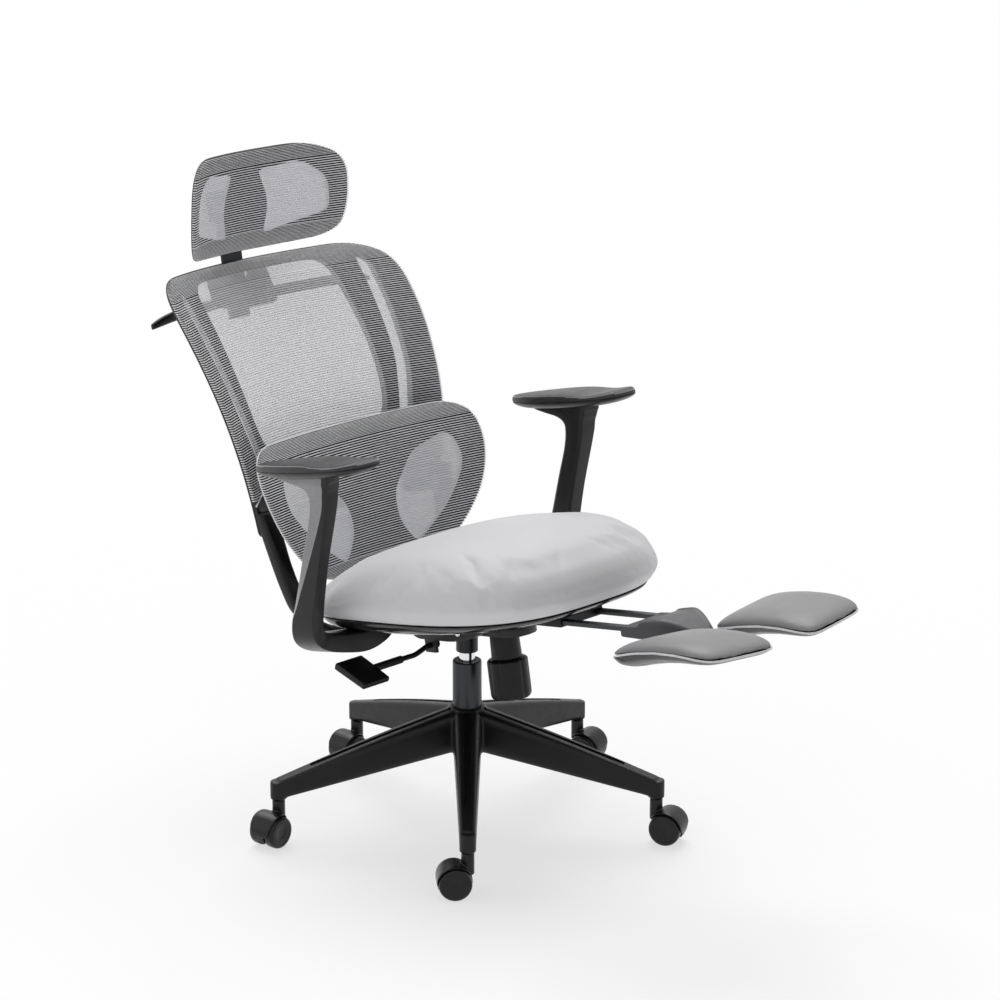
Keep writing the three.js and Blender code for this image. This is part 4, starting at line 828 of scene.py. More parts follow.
brokenEdges = {  # edge radius, finish, body, slot
    "mech_socket": (1.5, "steel", "column", "black_steel"),
    "tilt_housing": (2.2, "housing", "seat", "black_steel"),
    "footrest_track": (0.8, "steel", "seat", "black_steel"),
    "footrest_rail_left": (1.0, "rail", "footrest", "black_steel"),
    "footrest_rail_right": (1.0, "rail", "footrest", "black_steel"),
    "lumbar_carrier": (1.5, "frame", "lumbar", "frame"),
    "lumbar_guide": (1.2, "frame", "back", "frame"),
    "headrest_bracket": (2.0, "frame", "headrest_slider", "frame"),
    "headrest_post": (1.0, "steel", "headrest_slider", "black_steel"),
}
plainNodes = {
    "tilt_axle": "chrome", "tension_spring": "steel", "recline_pin": "chrome", "footrest_axle": "chrome",
    "headrest_pin": "chrome", "yoke_screw_left": "steel", "yoke_screw_right": "steel", "seat_board": "board",
}
edgeBreak = {  # angles in degrees: faces that count as one, edges that are broken, edges that look crisp
    "flat": 1, "above": 32, "crease": 42, "segments": 3,
}


def softened(node, radius, paint):
    piece = linked(node + "Look", frame["nodes"][node].data.copy())
    build = bmesh.new()
    build.from_mesh(piece.data)
    bmesh.ops.remove_doubles(build, verts=build.verts, dist=2e-6)
    bmesh.ops.dissolve_limit(build, angle_limit=math.radians(edgeBreak["flat"]), verts=build.verts,
                             edges=build.edges)
    build.to_mesh(piece.data)
    build.free()
    modified(piece, "BEVEL", width=radius * mm, segments=edgeBreak["segments"], limit_method="ANGLE",
             angle_limit=math.radians(edgeBreak["above"]), use_clamp_overlap=True)
    return settle(piece, paint, edgeBreak["crease"])


def makeMechanism():
    for node, (radius, finish, body, slotName) in brokenEdges.items():
        wear(softened(node, radius, paints[finish]), body, slotName, node)
    for node, finish in plainNodes.items():
        data = frame["nodes"][node].data
        data.materials.clear()
        data.materials.append(paints[finish].material)


# Tension knob and lever

knob = {
    "y": -52,
    "collar": [(5.4, -34.8), (25.6, -34.8), (26.2, -33), (25, 9.6), (5.4, 9.6)],
    "cap": [(-104, 0.86), (-101.5, 0.95), (-98, 0.985), (-90, 1), (-44, 1), (-38, 0.985), (-35.6, 0.93)],
    "capRadius": 35,
    "facets": 10,
    "facetDepth": 0.055,
    "bolt": (5, -60, 30),  # radius, foot and top
    "rounding": 1, "facetPoints": 14, "rings": 26, "crease": 50,
}
lever = {
    "y": 75,
    "rodRadius": 4.5,
    "rod": [(-44, -9), (-56, -9), (-64, -9.5), (-92, -16.7), (-109, -17), (-126, -17), (-150, -17)],  # x, z
    "head": [(0, -40), (7.4, -40), (8, -40.8), (8, -44), (0, -44)],  # radius, x
    "sleeve": [(5.1, -124.5), (6.2, -124.5), (6.8, -126), (6.8, -184.5), (6, -186), (5.1, -186)],
    "paddle": [(-38, -7, 5), (38, -7, 4), (38, 7, 6), (12, 6.6, 20), (-38, 3.5, 3)],
    "paddleHalfLength": 29,
    "paddlePitch": 24,
    "paddleMiddle": (-215.3, -17),
    "paddleEdge": 2.6,
    "paddleSpacing": 1.2,
    "rings": 48, "sleeveSides": 12, "sleeveRounding": 0.6, "sleeveCrease": 28,
}


def makeKnob():
    place = inChair @ Matrix.Translation((0, knob["y"], 0))
    profile = softProfile(knob["collar"] + knob["collar"][:1], knob["rounding"])
    collar = turnedPiece("knobCollarLook", profile, paints["base"], place)
    wear(collar, "seat", "nylon", "knob_collar")
    rings = []
    sides = knob["facets"] * knob["facetPoints"]
    for height, share in between(knob["cap"], knob["rings"]):
        ring = []
        for i in range(sides):
            angle = 2 * math.pi * i / sides
            dip = (1 - abs(math.cos(angle * knob["facets"] / 2))) ** 2
            radius = knob["capRadius"] * share * (1 - knob["facetDepth"] * dip)
            ring.append((radius * math.cos(angle), radius * math.sin(angle), height))
        rings.append(ring)
    cap = loft("knobCap", rings, paints["base"], place, knob["crease"])
    bolt = cylinder("knobBolt", *knob["bolt"], paints["base"], place, roundness["small"])
    whole = merged("knobLook", [cap, bolt], paints["base"], knob["crease"])
    wear(whole, "knob", "nylon", "tension_knob")


def tube(name, path, radius, paint, sides=roundness["tiny"]):
    # A round bar along a path in the plane of x and z.
    rings = []
    spots = np.array(path, float)
    for i, spot in enumerate(spots):
        ahead = spots[min(i + 1, len(spots) - 1)] - spots[max(i - 1, 0)]
        ahead /= np.linalg.norm(ahead)
        across = np.array((-ahead[2], 0, ahead[0]))
        rings.append(superRing(spot, across * radius, (0, radius, 0), 2, sides))
    return loft(name, rings, paint)


def makeLever():
    y = lever["y"]
    path = [(x, y, z) for x, z in between(lever["rod"], lever["rings"])]
    rod = tube("leverBar", path, lever["rodRadius"], paints["steel"])
    head = turnedPiece("leverHead", lever["head"], paints["steel"], crosswise(y, lever["rod"][0][1]),
                       roundness["small"])
    wear(merged("leverRodLook", [rod, head], paints["steel"]), "lever", "black_steel", "lever_rod")
    x, z = lever["paddleMiddle"]
    profile = softProfile(lever["sleeve"] + lever["sleeve"][:1], lever["sleeveRounding"])
    sleeve = turnedPiece("leverSleeveLook", profile, paints["grip"], crosswise(y, z),
                         lever["sleeveSides"], lever["sleeveCrease"])
    wear(sleeve, "lever", "nylon", "lever_sleeve")
    pitched = Matrix.Rotation(math.radians(lever["paddlePitch"]), 4, "X")
    place = inChair @ Matrix.Translation((x, y, z)) @ pitched
    half = lever["paddleHalfLength"]
    paddle = slab("leverPaddleLook", roundedOutline(lever["paddle"]), [], -half, half, lever["paddleEdge"],
                  flatAcross, paints["grip"], place, spacing=lever["paddleSpacing"])
    wear(paddle, "lever", "nylon", "lever_paddle")


# Seat

seat = {
    "halfWidth": 231,
    "front": 288,
    "rear": 197,
    "widest": 60,  # y of the widest line
    "frontExponent": 3.1,
    "rearExponent": 4,
    "rearBulge": 0.33,
    "pan": [  # height and share of the outline
        (45.8, 0.74), (46.8, 0.79), (49.5, 0.845), (58, 0.94), (67, 0.985), (73.5, 1), (75, 0.998),
    ],
    "panThins": 0.4,  # how much shallower the pan is at its front
    "panRoom": (65.7, 80, 19.5),  # floor and top of the hollow for the board, inset
    "channel": (62, 60.5, 145),  # half width, height, rear end
    "cushionBottom": 75.3,
    "cushionCrown": 175,
    "bulge": 25,
    "cushion": [  # share of the height, share of the bulge, share of the outline
        (0, -0.1, 0.98), (0.03, 0.22, 1), (0.1, 0.52, 1), (0.24, 0.88, 1), (0.4, 1, 1), (0.56, 0.72, 1),
        (0.72, 0, 1), (0.86, 0, 0.84), (0.95, 0, 0.58), (1, 0, 0.26), (1.008, 0, 0.05),
    ],
    "rearDrop": 0.48,
    "frontRise": (0.2, -165, 150),  # share of the height, its middle, its reach
    "shrink": 2.5,  # the cushion starts smaller and swells back in the simulation
    "voxel": 5,
    "pressure": 4,
    "mostSwell": 8,
    "points": 160, "roomPoints": 96, "panRings": 22, "cushionRings": 40, "crease": 40,
}


def seatRing(z, growth, share, count=seat["points"]):
    ring = []
    for turn in np.linspace(0, 2 * math.pi, count, endpoint=False):
        across, along = math.cos(turn), math.sin(turn)
        exponent = seat["rearExponent"] if along > 0 else seat["frontExponent"]
        bulge = seat["rearBulge"] * growth if along > 0 and growth > 0 else growth
        reach = (seat["rear"] - seat["widest"] if along > 0 else seat["front"] + seat["widest"]) + bulge
        grown = [math.copysign(abs(value) ** (2 / exponent), value) for value in (across, along)]
        x = share * (seat["halfWidth"] + growth) * grown[0]
        ring.append((x, seat["widest"] + share * reach * grown[1], z))
    return ring


def makePan():
    paint = paints["pan"]
    top = seat["pan"][-1][0]
    rings = []
    for z, share in between(seat["pan"], seat["panRings"]):
        rings.append([(x, y, top - (top - level) * (1 - seat["panThins"] * max(0, -y / seat["front"])))
                      for x, y, level in seatRing(z, 0, share)])
    pan = loft("panLook", rings, paint)
    half, height, rear = seat["channel"]
    channel = block("channel", (-half, -seat["front"] - 2 * half, 0), (half, rear, height), paint)
    *levels, inset = seat["panRoom"]
    room = loft("boardRoom", [seatRing(z, -inset, 1, seat["roomPoints"]) for z in levels], paint)
    carve(pan, [channel, room], paint, seat["crease"])
    return wear(pan, "seat", "pan", "seat_pan")


padding = {
    "underside": -0.4,  # faces that look down more squarely than this are held by the rim
    "frames": 20, "quality": 5, "smoothing": 6, "crease": 70,
    "fill": 0.9,
}


def swell(piece, settings, paint):
    # The padding pushes its cover out: a pressurised cloth, held to a small distance from where it started.
    modified(piece, "REMESH", mode="VOXEL", voxel_size=settings["voxel"] * mm)
    settle(piece)
    start = np.empty(len(piece.data.vertices) * 3)
    piece.data.vertices.foreach_get("co", start)
    under = [v.index for v in piece.data.vertices if facing(v.normal).z < padding["underside"]]
    held = piece.vertex_groups.new(name="held")
    held.add(under, 1.0, "REPLACE")
    cloth = modified(piece, "CLOTH")
    cloth.settings.vertex_group_mass = held.name
    cloth.settings.use_pressure = True
    cloth.settings.uniform_pressure_force = settings["pressure"]
    cloth.settings.effector_weights.gravity = 0
    cloth.settings.quality = padding["quality"]
    cloth.point_cache.frame_start = 1
    cloth.point_cache.frame_end = padding["frames"]
    for step in range(1, padding["frames"] + 1):
        bpy.context.scene.frame_set(step)
    settle(piece)
    bpy.context.scene.frame_set(1)
    moved = np.empty_like(start)
    piece.data.vertices.foreach_get("co", moved)
    shift = (moved - start).reshape(-1, 3)
    length = np.maximum(np.linalg.norm(shift, axis=1), 1e-9)
    shift *= np.minimum(1, settings["mostSwell"] * mm / length)[:, None]
    piece.data.vertices.foreach_set("co", (start.reshape(-1, 3) + shift).ravel())
    modified(piece, "SMOOTH", factor=0.5, iterations=padding["smoothing"])
    modified(piece, "SUBSURF", levels=1, render_levels=1)
    settle(piece, paint, padding["crease"])
    piece.vertex_groups.clear()
    return piece


def makeCushion():
    rings = []
    bottom = seat["cushionBottom"]
    rise, middle, reach = seat["frontRise"]
    for height, out, share in between(seat["cushion"], seat["cushionRings"]):
        level = bottom + height * (seat["cushionCrown"] - bottom - seat["shrink"])
        ring = []
        for x, y, z in seatRing(level, out * seat["bulge"] - seat["shrink"], share):
            drop = seat["rearDrop"] * max(0, y / seat["rear"]) ** 2
            hump = 1 - drop + rise * math.exp(-((y - middle) / reach) ** 2)
            ring.append((x, y, bottom + (z - bottom) * hump))
        rings.append(ring)
    cushion = loft("cushionLook", rings, paints["cushion"])
    swell(cushion, seat, paints["cushion"])
    flattened(cushion, bottom)
    wear(cushion, "seat", "cushion", "seat_cushion")


def flattened(piece, level):
    # Padding can't pass the board it lies on.
    back = inChair.inverted()
    for vertex in piece.data.vertices:
        spot = back @ vertex.co
        if spot.z < level:
            spot.z = level
            vertex.co = inChair @ spot
    piece.data.update()


# Arms

arm = {
    "spread": 300,
    "padRear": 171, "padFront": -116, "padMiddleZ": 352.5,
    "rise": 3.7,  # degrees, front end up
    "halfWidth": 45,
    "outline": [  # from the front tip round to the pointed rear
        (0, -1), (0.55, -0.95), (0.92, -0.72), (1, -0.35), (0.93, 0.05), (0.74, 0.45), (0.44, 0.8),
        (0.15, 0.98),
    ],
    "base": [(-13, 0.4), (-12.6, 0.66), (-11, 0.8), (-8, 0.9), (-4, 0.972), (-0.8, 0.998), (-0.2, 0.99)],
    "pad": [
        (0.3, 0.985), (0.8, 0.998), (3, 1.0), (7.5, 0.992), (10.6, 0.972), (12, 0.945), (12.8, 0.9),
        (13.8, 0.8), (15, 0.6), (15.7, 0.3), (15.9, 0.05),
    ],
    "bevel": (0.36, 0.74),  # how squarely the faces of the bevel with the painted highlight line look up
    "saddle": (-0.55, 0.3, 0.42),  # where the pad dips towards its front, how far along, how deep
    "reach": 148,
    "footZ": 33.3, "footY": 104, "topZ": 347,
    "halfDepth": 60, "halfThickness": 19,
    "post": [  # shares of reach inward, height, quarter turn, foot's y, half depth, half thickness
        (0, 1, 0, 0.45, 1.2, 1), (0, 0.962, 0, 0.44, 1.16, 1), (0, 0.94, 0, 0.34, 0.92, 1),
        (0, 0.918, 0, 0.2, 0.62, 0.98), (0, 0.885, 0, 0.145, 0.44, 0.95), (0, 0.834, 0, 0.155, 0.39, 0.92),
        (0, 0.742, 0, 0.245, 0.37, 0.86), (0, 0.605, 0, 0.423, 0.39, 0.8), (0, 0.509, 0, 0.543, 0.4, 0.78),
        (0, 0.375, 0, 0.7, 0.42, 0.79), (0, 0.27, 0, 0.82, 0.44, 0.82), (0, 0.18, 0, 0.92, 0.48, 0.85),
        (0.034, 0.104, 0.36, 1.0, 0.52, 0.84), (0.17, 0.052, 0.71, 1.07, 0.53, 0.86),
        (0.405, 0.018, 0.89, 1.08, 0.52, 0.94), (0.72, -0.004, 0.98, 1.04, 0.52, 1.02),
        (1.0, 0.012, 1, 1, 0.46, 0.86), (1.2, 0.04, 1, 0.98, 0.38, 0.45),
    ],
    "section": [  # outward and rearward shares, rounding; the third corner is the ridge
        (-0.92, -0.9, 0.3), (0.9, -1.0, 0.1), (1.05, 0.0, 0.05), (0.72, 0.96, 0.2), (-0.86, 0.98, 0.4),
        (-1.0, 0.1, 0.5),
    ],
    "ridge": [  # share of the height, rearward share
        (0, 0.78), (0.2, 0.72), (0.35, 0.4), (0.6, -0.25), (0.8, -0.72), (1, -0.84),
    ],
    "paintedFlankHighlight": (0.6, 0.03),  # how far outward and rearward the faces with the painted highlight look
    "outlinePoints": 120, "postRings": 90, "postCrease": 16, "padRings": 24, "padCrease": 30,
    "twinCrease": 60,
}


def armSection(height):
    corners = list(arm["section"])
    outward, _, rounding = corners[2]
    corners[2] = (outward, float(np.interp(height, *zip(*arm["ridge"]))), rounding)
    return roundedOutline(corners)


def padOutline():
    half = arm["outline"]
    points = half + [(0, 1)] + [(-x, y) for x, y in reversed(half[1:])]
    points = points[-2:] + points + points[:3]
    steps = 12  # between two points of the outline; the two at each end only guide the curve
    smooth = np.array(between(points, steps * (len(points) - 1) + 1))[2 * steps:-2 * steps]
    line = [(x * arm["halfWidth"], y * (arm["padRear"] - arm["padFront"]) / 2) for x, y in smooth]
    closed = evenly(line, 1.0)
    return closed[np.linspace(0, len(closed), arm["outlinePoints"], endpoint=False).astype(int)]


def saddled(y):
    middle, reach, depth = arm["saddle"]
    along = 2 * y / (arm["padRear"] - arm["padFront"])
    return 1 - depth * math.exp(-((along - middle) / reach) ** 2)


def paintHighlightFaces(piece, isPale):
    # Some faces of the moulding are painted a paler grey: a painted highlight.
    piece.data.materials.append(paints["armFlank"].material)
    for face in piece.data.polygons:
        if isPale(*facing(face.normal)):
            face.material_index = 1


def paintedFlankHighlight(piece, side):
    # The post's faces that turn outward and rearward get the painted highlight.
    outward, rearward = arm["paintedFlankHighlight"]
    paintHighlightFaces(piece, lambda x, y, z: x * side > outward and y > rearward)


def paintedBevelHighlight(piece):
    # The narrow bevel between the pad's side and its top, painted paler as a highlight line.
    low, high = arm["bevel"]
    paintHighlightFaces(piece, lambda x, y, z: low < z < high)


def makeArm():
    paint = paints["arm"]
    rings = []
    for inward, height, quarter, y, deep, thick in between(arm["post"], arm["postRings"]):
        angle = quarter * math.pi / 2
        z = arm["footZ"] + height * (arm["topZ"] - arm["footZ"])
        centre = np.array((arm["spread"] - inward * arm["reach"], y * arm["footY"], z))
        outward = np.array((math.cos(angle), 0, -math.sin(angle))) * thick * arm["halfThickness"]
        along = np.array((0, deep * arm["halfDepth"], 0))
        rings.append([tuple(centre + a * outward + b * along) for a, b in armSection(height)])
    post = loft("armPostLook_left", rings, paint, sharpAngle=arm["postCrease"])
    middle = (arm["padRear"] + arm["padFront"]) / 2
    tilted = inChair @ Matrix.Translation((arm["spread"], middle, arm["padMiddleZ"]))
    tilted = tilted @ Matrix.Rotation(-math.radians(arm["rise"]), 4, "X")
    outline = padOutline()
    layers = {}
    for part, finish in (("base", "arm"), ("pad", "armPad")):
        rings = []
        for height, share in between(arm[part], arm["padRings"]):
            dips = [saddled(share * y) if height > 0 else 1 for _, y in outline]
            rings.append([(x * share, y * share, height * dip) for (x, y), dip in zip(outline, dips)])
        layers[part] = loft("arm" + part.capitalize() + "Look_left", rings, paints[finish], tilted,
                            arm["padCrease"])
    pieces = [
        (post, paint, "arm", "arm_post", arm["postCrease"]),
        (layers["base"], paint, "arm", "arm_pad_base", arm["padCrease"]),
        (layers["pad"], paints["armPad"], "arm_pad", "arm_pad", arm["twinCrease"]),
    ]
    for piece, finish, slotName, node, sharp in pieces:
        twin = reflected(piece.name.replace("_left", "_right"), piece, finish, sharpAngle=sharp)
        # the posts' outward, rearward faces get a painted highlight
        if piece is post:
            paintedFlankHighlight(piece, 1)
            paintedFlankHighlight(twin, -1)
        # the pad's bevel gets a painted highlight line
        if piece is layers["pad"]:
            paintedBevelHighlight(piece)
            paintedBevelHighlight(twin)
        wear(piece, "seat", slotName, node + "_left")
        wear(twin, "seat", slotName, node + "_right")


# Stretched mesh panels: back, lumbar pad and headrest

# A panel's face: a height, how far back it lies there, its lean, and how gently it bends and wraps.

back = {
    "face": (290, 358, 0.0969, 1098, 694), "bead": 0.62,  # the bead's share of the thickness
    "halfWidth": 260, "low": 200, "high": 647, "thickness": 18, "edge": 6, "fine": (0, 34),
    "curlReach": 34, "curlTop": 12, "curlFoot": 0,
    "outline": [
        (0.83, 1, 0.16), (0.995, 0.93, 0.2), (0.99, 0.72, 0.2), (0.93, 0.4, 0.2), (0.86, 0.16, 0.2),
        (0.79, 0, 0.04),
    ],
    "window": [(0.6, 0.958, 0.14), (0.62, 0.6, 0.2), (0.58, 0.33, 0.24), (0.44, 0.3, 0.12)],
    "slot": [
        (0.77, 0.945, 0.02), (0.84, 0.92, 0.03), (0.83, 0.75, 0.1), (0.79, 0.5, 0.1), (0.7, 0.28, 0.03),
        (0.62, 0.28, 0.03), (0.72, 0.55, 0.1), (0.745, 0.75, 0.1),
    ],
    "foot": [
        (0.6, 0, 0.04), (0.585, 0.15, 0.1), (0.35, 0.2, 0.12), (0.115, 0.215, 0.03), (0.115, 0.01, 0.03),
    ],
    "archSide": 244, "archMiddle": 309,  # where the mesh ends above the frame's foot
    "hemRadius": 1.6, "hemShare": 0.87,
}
lumbar = {
    "face": (120, 235, 0, 1212, 1428), "bead": 0.78,
    "halfWidth": 254, "low": 105, "high": 360, "thickness": 10, "edge": 4, "fine": (30, 26),
    "curlReach": 26, "curlTop": 11, "curlFoot": 9,
    "outline": [
        (0.86, 1, 0.12), (1, 0.9, 0.1), (1.01, 0.66, 0.15), (0.9, 0.37, 0.2), (0.64, 0.08, 0.2),
        (0.4, 0, 0.14),
    ],
    "leaf": [
        (0.44, 0.725, 0.08), (0.77, 0.82, 0.1), (0.83, 0.6, 0.12), (0.64, 0.33, 0.15), (0.33, 0.1, 0.07),
        (0.21, 0.28, 0.08), (0.21, 0.48, 0.1),
    ],
}
head = {
    "face": (755, 480, -0.24, math.inf, 384), "bead": 0.66,
    "halfWidth": 177, "low": 665, "high": 841, "thickness": 12, "edge": 4.5, "fine": (30, 30),
    "curlReach": 30, "curlTop": 8, "curlFoot": 7,
    "outline": [(0.68, 1, 0.2), (0.99, 0.82, 0.24), (1.01, 0.32, 0.2), (0.93, 0.03, 0.22), (0.4, 0, 0.2)],
    "window": [
        (0.17, 0.79, 0.05), (0.62, 0.83, 0.12), (0.84, 0.62, 0.12), (0.86, 0.28, 0.08), (0.24, 0.14, 0.06),
        (0.3, 0.46, 0.15),
    ],
    "pin": (514, 748), "eye": (10, 20),  # y and z of its middle; radius and half length
    "neck": (15, 9.9),  # half height at the shell and at the pin
    "neckEdge": 1.2, "neckRounding": 1, "neckSpacing": 2,
}
weave = {
    "pitch": 4.3,
    "fineShare": 0.62,
    "ribRadius": 1.02,
    "ribLift": 1.35,  # of a rib's middle in front of the frame's face
    "netLift": 0.35,
    "netStep": 5,
    "netGrid": 11,
    "wrap": (0, 18, 36, 54, 72, 88),  # degrees round the frame's side
    "tuck": (0.15, 2.4),  # how far in and back a rib's end lies
    "ribStep": 9,
    "ribSides": 6,
    "beadRadius": 1.5,  # the bead that holds the mesh in the frame's side
    "beadSides": 8, "beadInset": 0.4,
    "margin": 1.2, "archMargin": 3,  # bare strips before the first rib
    "archPoints": 61,
    "stretch": 1.02,  # the net was cut this much smaller than the frame
    "crease": 60, "frameCrease": 40, "frameGrid": 12,
}


def front(panel, x, z):
    # How far back the face lies: it leans, bends up its height and wraps round the sitter.
    level, y, lean, bend, wrap = panel["face"]
    up = z - level
    return y + lean * up + up**2 / bend - x**2 / wrap


def curl(panel, z):
    # How far the face turns back towards its upper and lower edges.
    reach = panel["curlReach"]
    top = max(0, 1 - (panel["high"] - z) / reach) ** 2 * panel["curlTop"]
    foot = max(0, 1 - (z - panel["low"]) / reach) ** 2 * panel["curlFoot"]
    return top + foot


def onPanel(panel):
    def shape(x, z, depth):
        turned = curl(panel, z)
        y = front(panel, x, z) + turned + depth * (1 - turned / (panel["thickness"] + 2))
        return x, y, z
    return shape


def setOut(panel, shares):
    low, high, half = panel["low"], panel["high"], panel["halfWidth"]
    return [(x * half, low + z * (high - low), rounding * half) for x, z, rounding in shares]


def panelOutline(panel, key="outline"):
    return roundedOutline(bothSides(setOut(panel, panel[key])))


def frameOutline(panel):
    return roundedOutline(bothSides(setOut(panel, panel["outline"] + panel.get("foot", []))))


def sideHoles(panel, key):
    corners = setOut(panel, panel[key])
    return [roundedOutline(corners), roundedOutline(mirroredCorners(corners))]


def crossings(outline, z):
    # Where a level line enters and leaves the outline.
    found = []
    for (x1, z1), (x2, z2) in zip(outline, outline[1:] + outline[:1]):
        if (z1 > z) != (z2 > z):
            found.append(x1 + (x2 - x1) * (z - z1) / (z2 - z1))
    return sorted(found)


def isFine(panel, z):
    # The weave is finer where the face turns back towards its upper and lower edges.
    low, high = panel["fine"]
    return z < panel["low"] + low or z > panel["high"] - high


def ribLevels(panel, low, high):
    # Ribs lie at an even pitch along the curved face, so they crowd towards the edges that turn back.
    levels = []
    z = low
    while z < high:
        levels.append(z)
        slope = front(panel, 0, z + 1) + curl(panel, z + 1) - front(panel, 0, z) - curl(panel, z)
        pitch = weave["pitch"] * (weave["fineShare"] if isFine(panel, z) else 1)
        z += pitch / math.hypot(1, slope)
    return levels


def ribPath(panel, z, left, right, wrapLeft=True, wrapRight=True):
    # One rib across the face, its ends wrapped round the frame's sides or left at the arch.
    shape = onPanel(panel)
    edge, out = panel["edge"], weave["ribLift"]
    reach = edge + out
    inward, deep = weave["tuck"]
    wraps = [(reach * math.sin(turn), edge - reach * math.cos(turn)) for turn in np.radians(weave["wrap"])]
    start = left + edge if wrapLeft else left
    end = right - edge if wrapRight else right
    middle = np.linspace(start, end, max(2, int((end - start) / weave["ribStep"])) + 1)[1:-1]
    path = [shape(left, z, -out)]
    if wrapLeft:
        path = [shape(left - out + inward, z, edge + deep)]
        path += [shape(start - aside, z, depth) for aside, depth in reversed(wraps)]
    path += [shape(x, z, -out) for x in middle]
    if wrapRight:
        path += [shape(end + aside, z, depth) for aside, depth in wraps]
        path.append(shape(right + out - inward, z, edge + deep))
    else:
        path.append(shape(right, z, -out))
    return path


def panelRibs(name, panel, arched=False):
    outline = panelOutline(panel)
    groups = {False: [], True: []}
    low = panel["archSide"] + weave["archMargin"] if arched else panel["low"] + weave["margin"]
    for z in ribLevels(panel, low, panel["high"] - weave["margin"]):
        ends = crossings(outline, z)
        if len(ends) < 2 or ends[-1] - ends[0] < 4 * panel["edge"]:
            continue
        left, right = ends[0], ends[-1]
        lines = groups[isFine(panel, z)]
        if arched and z < panel["archMiddle"]:
            share = (z - panel["archSide"]) / (panel["archMiddle"] - panel["archSide"])
            gap = panel["halfWidth"] * math.sqrt(1 - share)
            if right - gap > 2 * panel["edge"]:
                lines.append(ribPath(panel, z, left, -gap, True, False))
                lines.append(ribPath(panel, z, gap, right, False, True))
            continue
        lines.append(ribPath(panel, z, left, right))
    sets = []
    for fine, lines in groups.items():
        radius = weave["ribRadius"] * (weave["fineShare"] if fine else 1)
        if lines:
            sets.append(sweptLines(name + "Set", lines, radius, weave["ribSides"], paints["rib"]))
    return merged(name, sets, paints["rib"], weave["crease"])


def archLevel(panel, x):
    return panel["archMiddle"] - (panel["archMiddle"] - panel["archSide"]) * (x / panel["halfWidth"]) ** 2


def archLine(panel):
    shares = np.linspace(-1, 1, weave["archPoints"])
    return [(x, archLevel(panel, x)) for x in shares * panel["halfWidth"]]


def aboveArch(panel, outline):
    # The outline runs anticlockwise; its part below the arch gives way to the arch itself.
    inside = [z > archLevel(panel, x) for x, z in outline]
    first = next(i for i, kept in enumerate(inside) if kept and not inside[i - 1])
    turned = list(outline[first:]) + list(outline[:first])
    kept = [spot for spot in turned if spot[1] > archLevel(panel, spot[0])]
    xs = np.linspace(kept[-1][0], kept[0][0], weave["archPoints"] - 1)[1:-1]
    return kept + [(x, archLevel(panel, x)) for x in xs]


def panelNet(name, panel, holes, paint, arched=False):
    # The net lies on the frame's face, cut inside its rounded edge. Where the frame backs it, the net is
    # painted near-black as shade.
    step, grid = weave["netStep"], weave["netGrid"]
    build = bmesh.new()
    loops = []
    border = shrunk(turnedLeft(evenly(panelOutline(panel), step)), panel["edge"])
    if arched:
        border = aboveArch(panel, border)
    for line in [border] + [evenly(hole, step) for hole in holes]:
        ring = [build.verts.new((x, z, 0)) for x, z in line]
        loops.append([build.edges.new((ring[i - 1], ring[i])) for i in range(len(ring))])
    bmesh.ops.triangle_fill(build, edges=sum(loops, []), use_beauty=True)
    for loop in loops[1:]:
        made = bmesh.ops.triangle_fill(build, edges=loop, use_beauty=True)["geom"]
        for face in made:
            if isinstance(face, bmesh.types.BMFace):
                face.material_index = 1
    for axis in (0, 1):
        spots = [vertex.co[axis] for vertex in build.verts]
        cutAcross(build, axis, np.arange(min(spots) + step, max(spots), grid))
    shape = onPanel(panel)
    for vertex in build.verts:
        x, z, _ = vertex.co
        vertex.co = inChair @ Vector(shape(x, z, -weave["netLift"]))
    forward = -(inChair.to_3x3() @ Vector((0, 1, 0)))
    for face in build.faces:
        face.normal_update()
        if face.normal.dot(forward) < 0:
            face.normal_flip()
    mesh = meshFrom(build, name)
    # slot 0: the net painted near-black as shade over the frame; slot 1: the pale net in the openings
    mesh.materials.append(paints["paintedShadeNet"].material)
    mesh.materials.append(paint.material)
    mesh.shade_smooth()
    return linked(name, mesh)


def stretch(panel, net, trims, frameName, body):
    # The net and its trims ride the panel's body.
    width = 2 * panel["halfWidth"] * mm / weave["stretch"]
    height = (panel["high"] - panel["low"]) * mm / weave["stretch"]
    for piece in (net, *trims):
        wear(piece, body, "mesh")
    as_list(trims)


def rimBead(name, panel, paint):
    # A bead round the frame's side where the mesh is pressed in.
    outline = turnedLeft(evenly(frameOutline(panel), weave["netStep"]))
    shape = onPanel(panel)
    depth = panel["thickness"] * panel["bead"]
    line = [shape(x, z, depth) for x, z in shrunk(outline, weave["beadInset"])]
    return sweptLines(name, [line], weave["beadRadius"], weave["beadSides"], paint, closed=True)


def panelFrame(name, panel, holes, paint):
    return slab(name, frameOutline(panel), holes, 0.0, panel["thickness"], panel["edge"], onPanel(panel),
                paint, grid=weave["frameGrid"], spacing=weave["netStep"])


def makeBack():
    paint = paints["frame"]
    holes = [panelOutline(back, "window"), *sideHoles(back, "slot")]
    rim = panelFrame("backRim", back, holes, paint)
    bead = rimBead("backBead", back, paint)
    whole = merged("backFrameLook", [rim, bead], paint, weave["frameCrease"])
    wear(whole, "back", "frame", "back_frame")
    net = panelNet("backNet", back, holes, paints["openNet"], True)
    ribs = panelRibs("backRibs", back, True)
    shape = onPanel(back)
    reach = back["hemShare"] * back["halfWidth"]
    line = [shape(x, z, -weave["ribLift"]) for x, z in archLine(back) if abs(x) < reach]
    hem = sweptLines("backHem", [line], back["hemRadius"], weave["beadSides"], paints["rib"])
    stretch(back, net, [ribs, hem], "backFrameLook", "back")
    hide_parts("back_mesh")
    print("back frame and mesh")


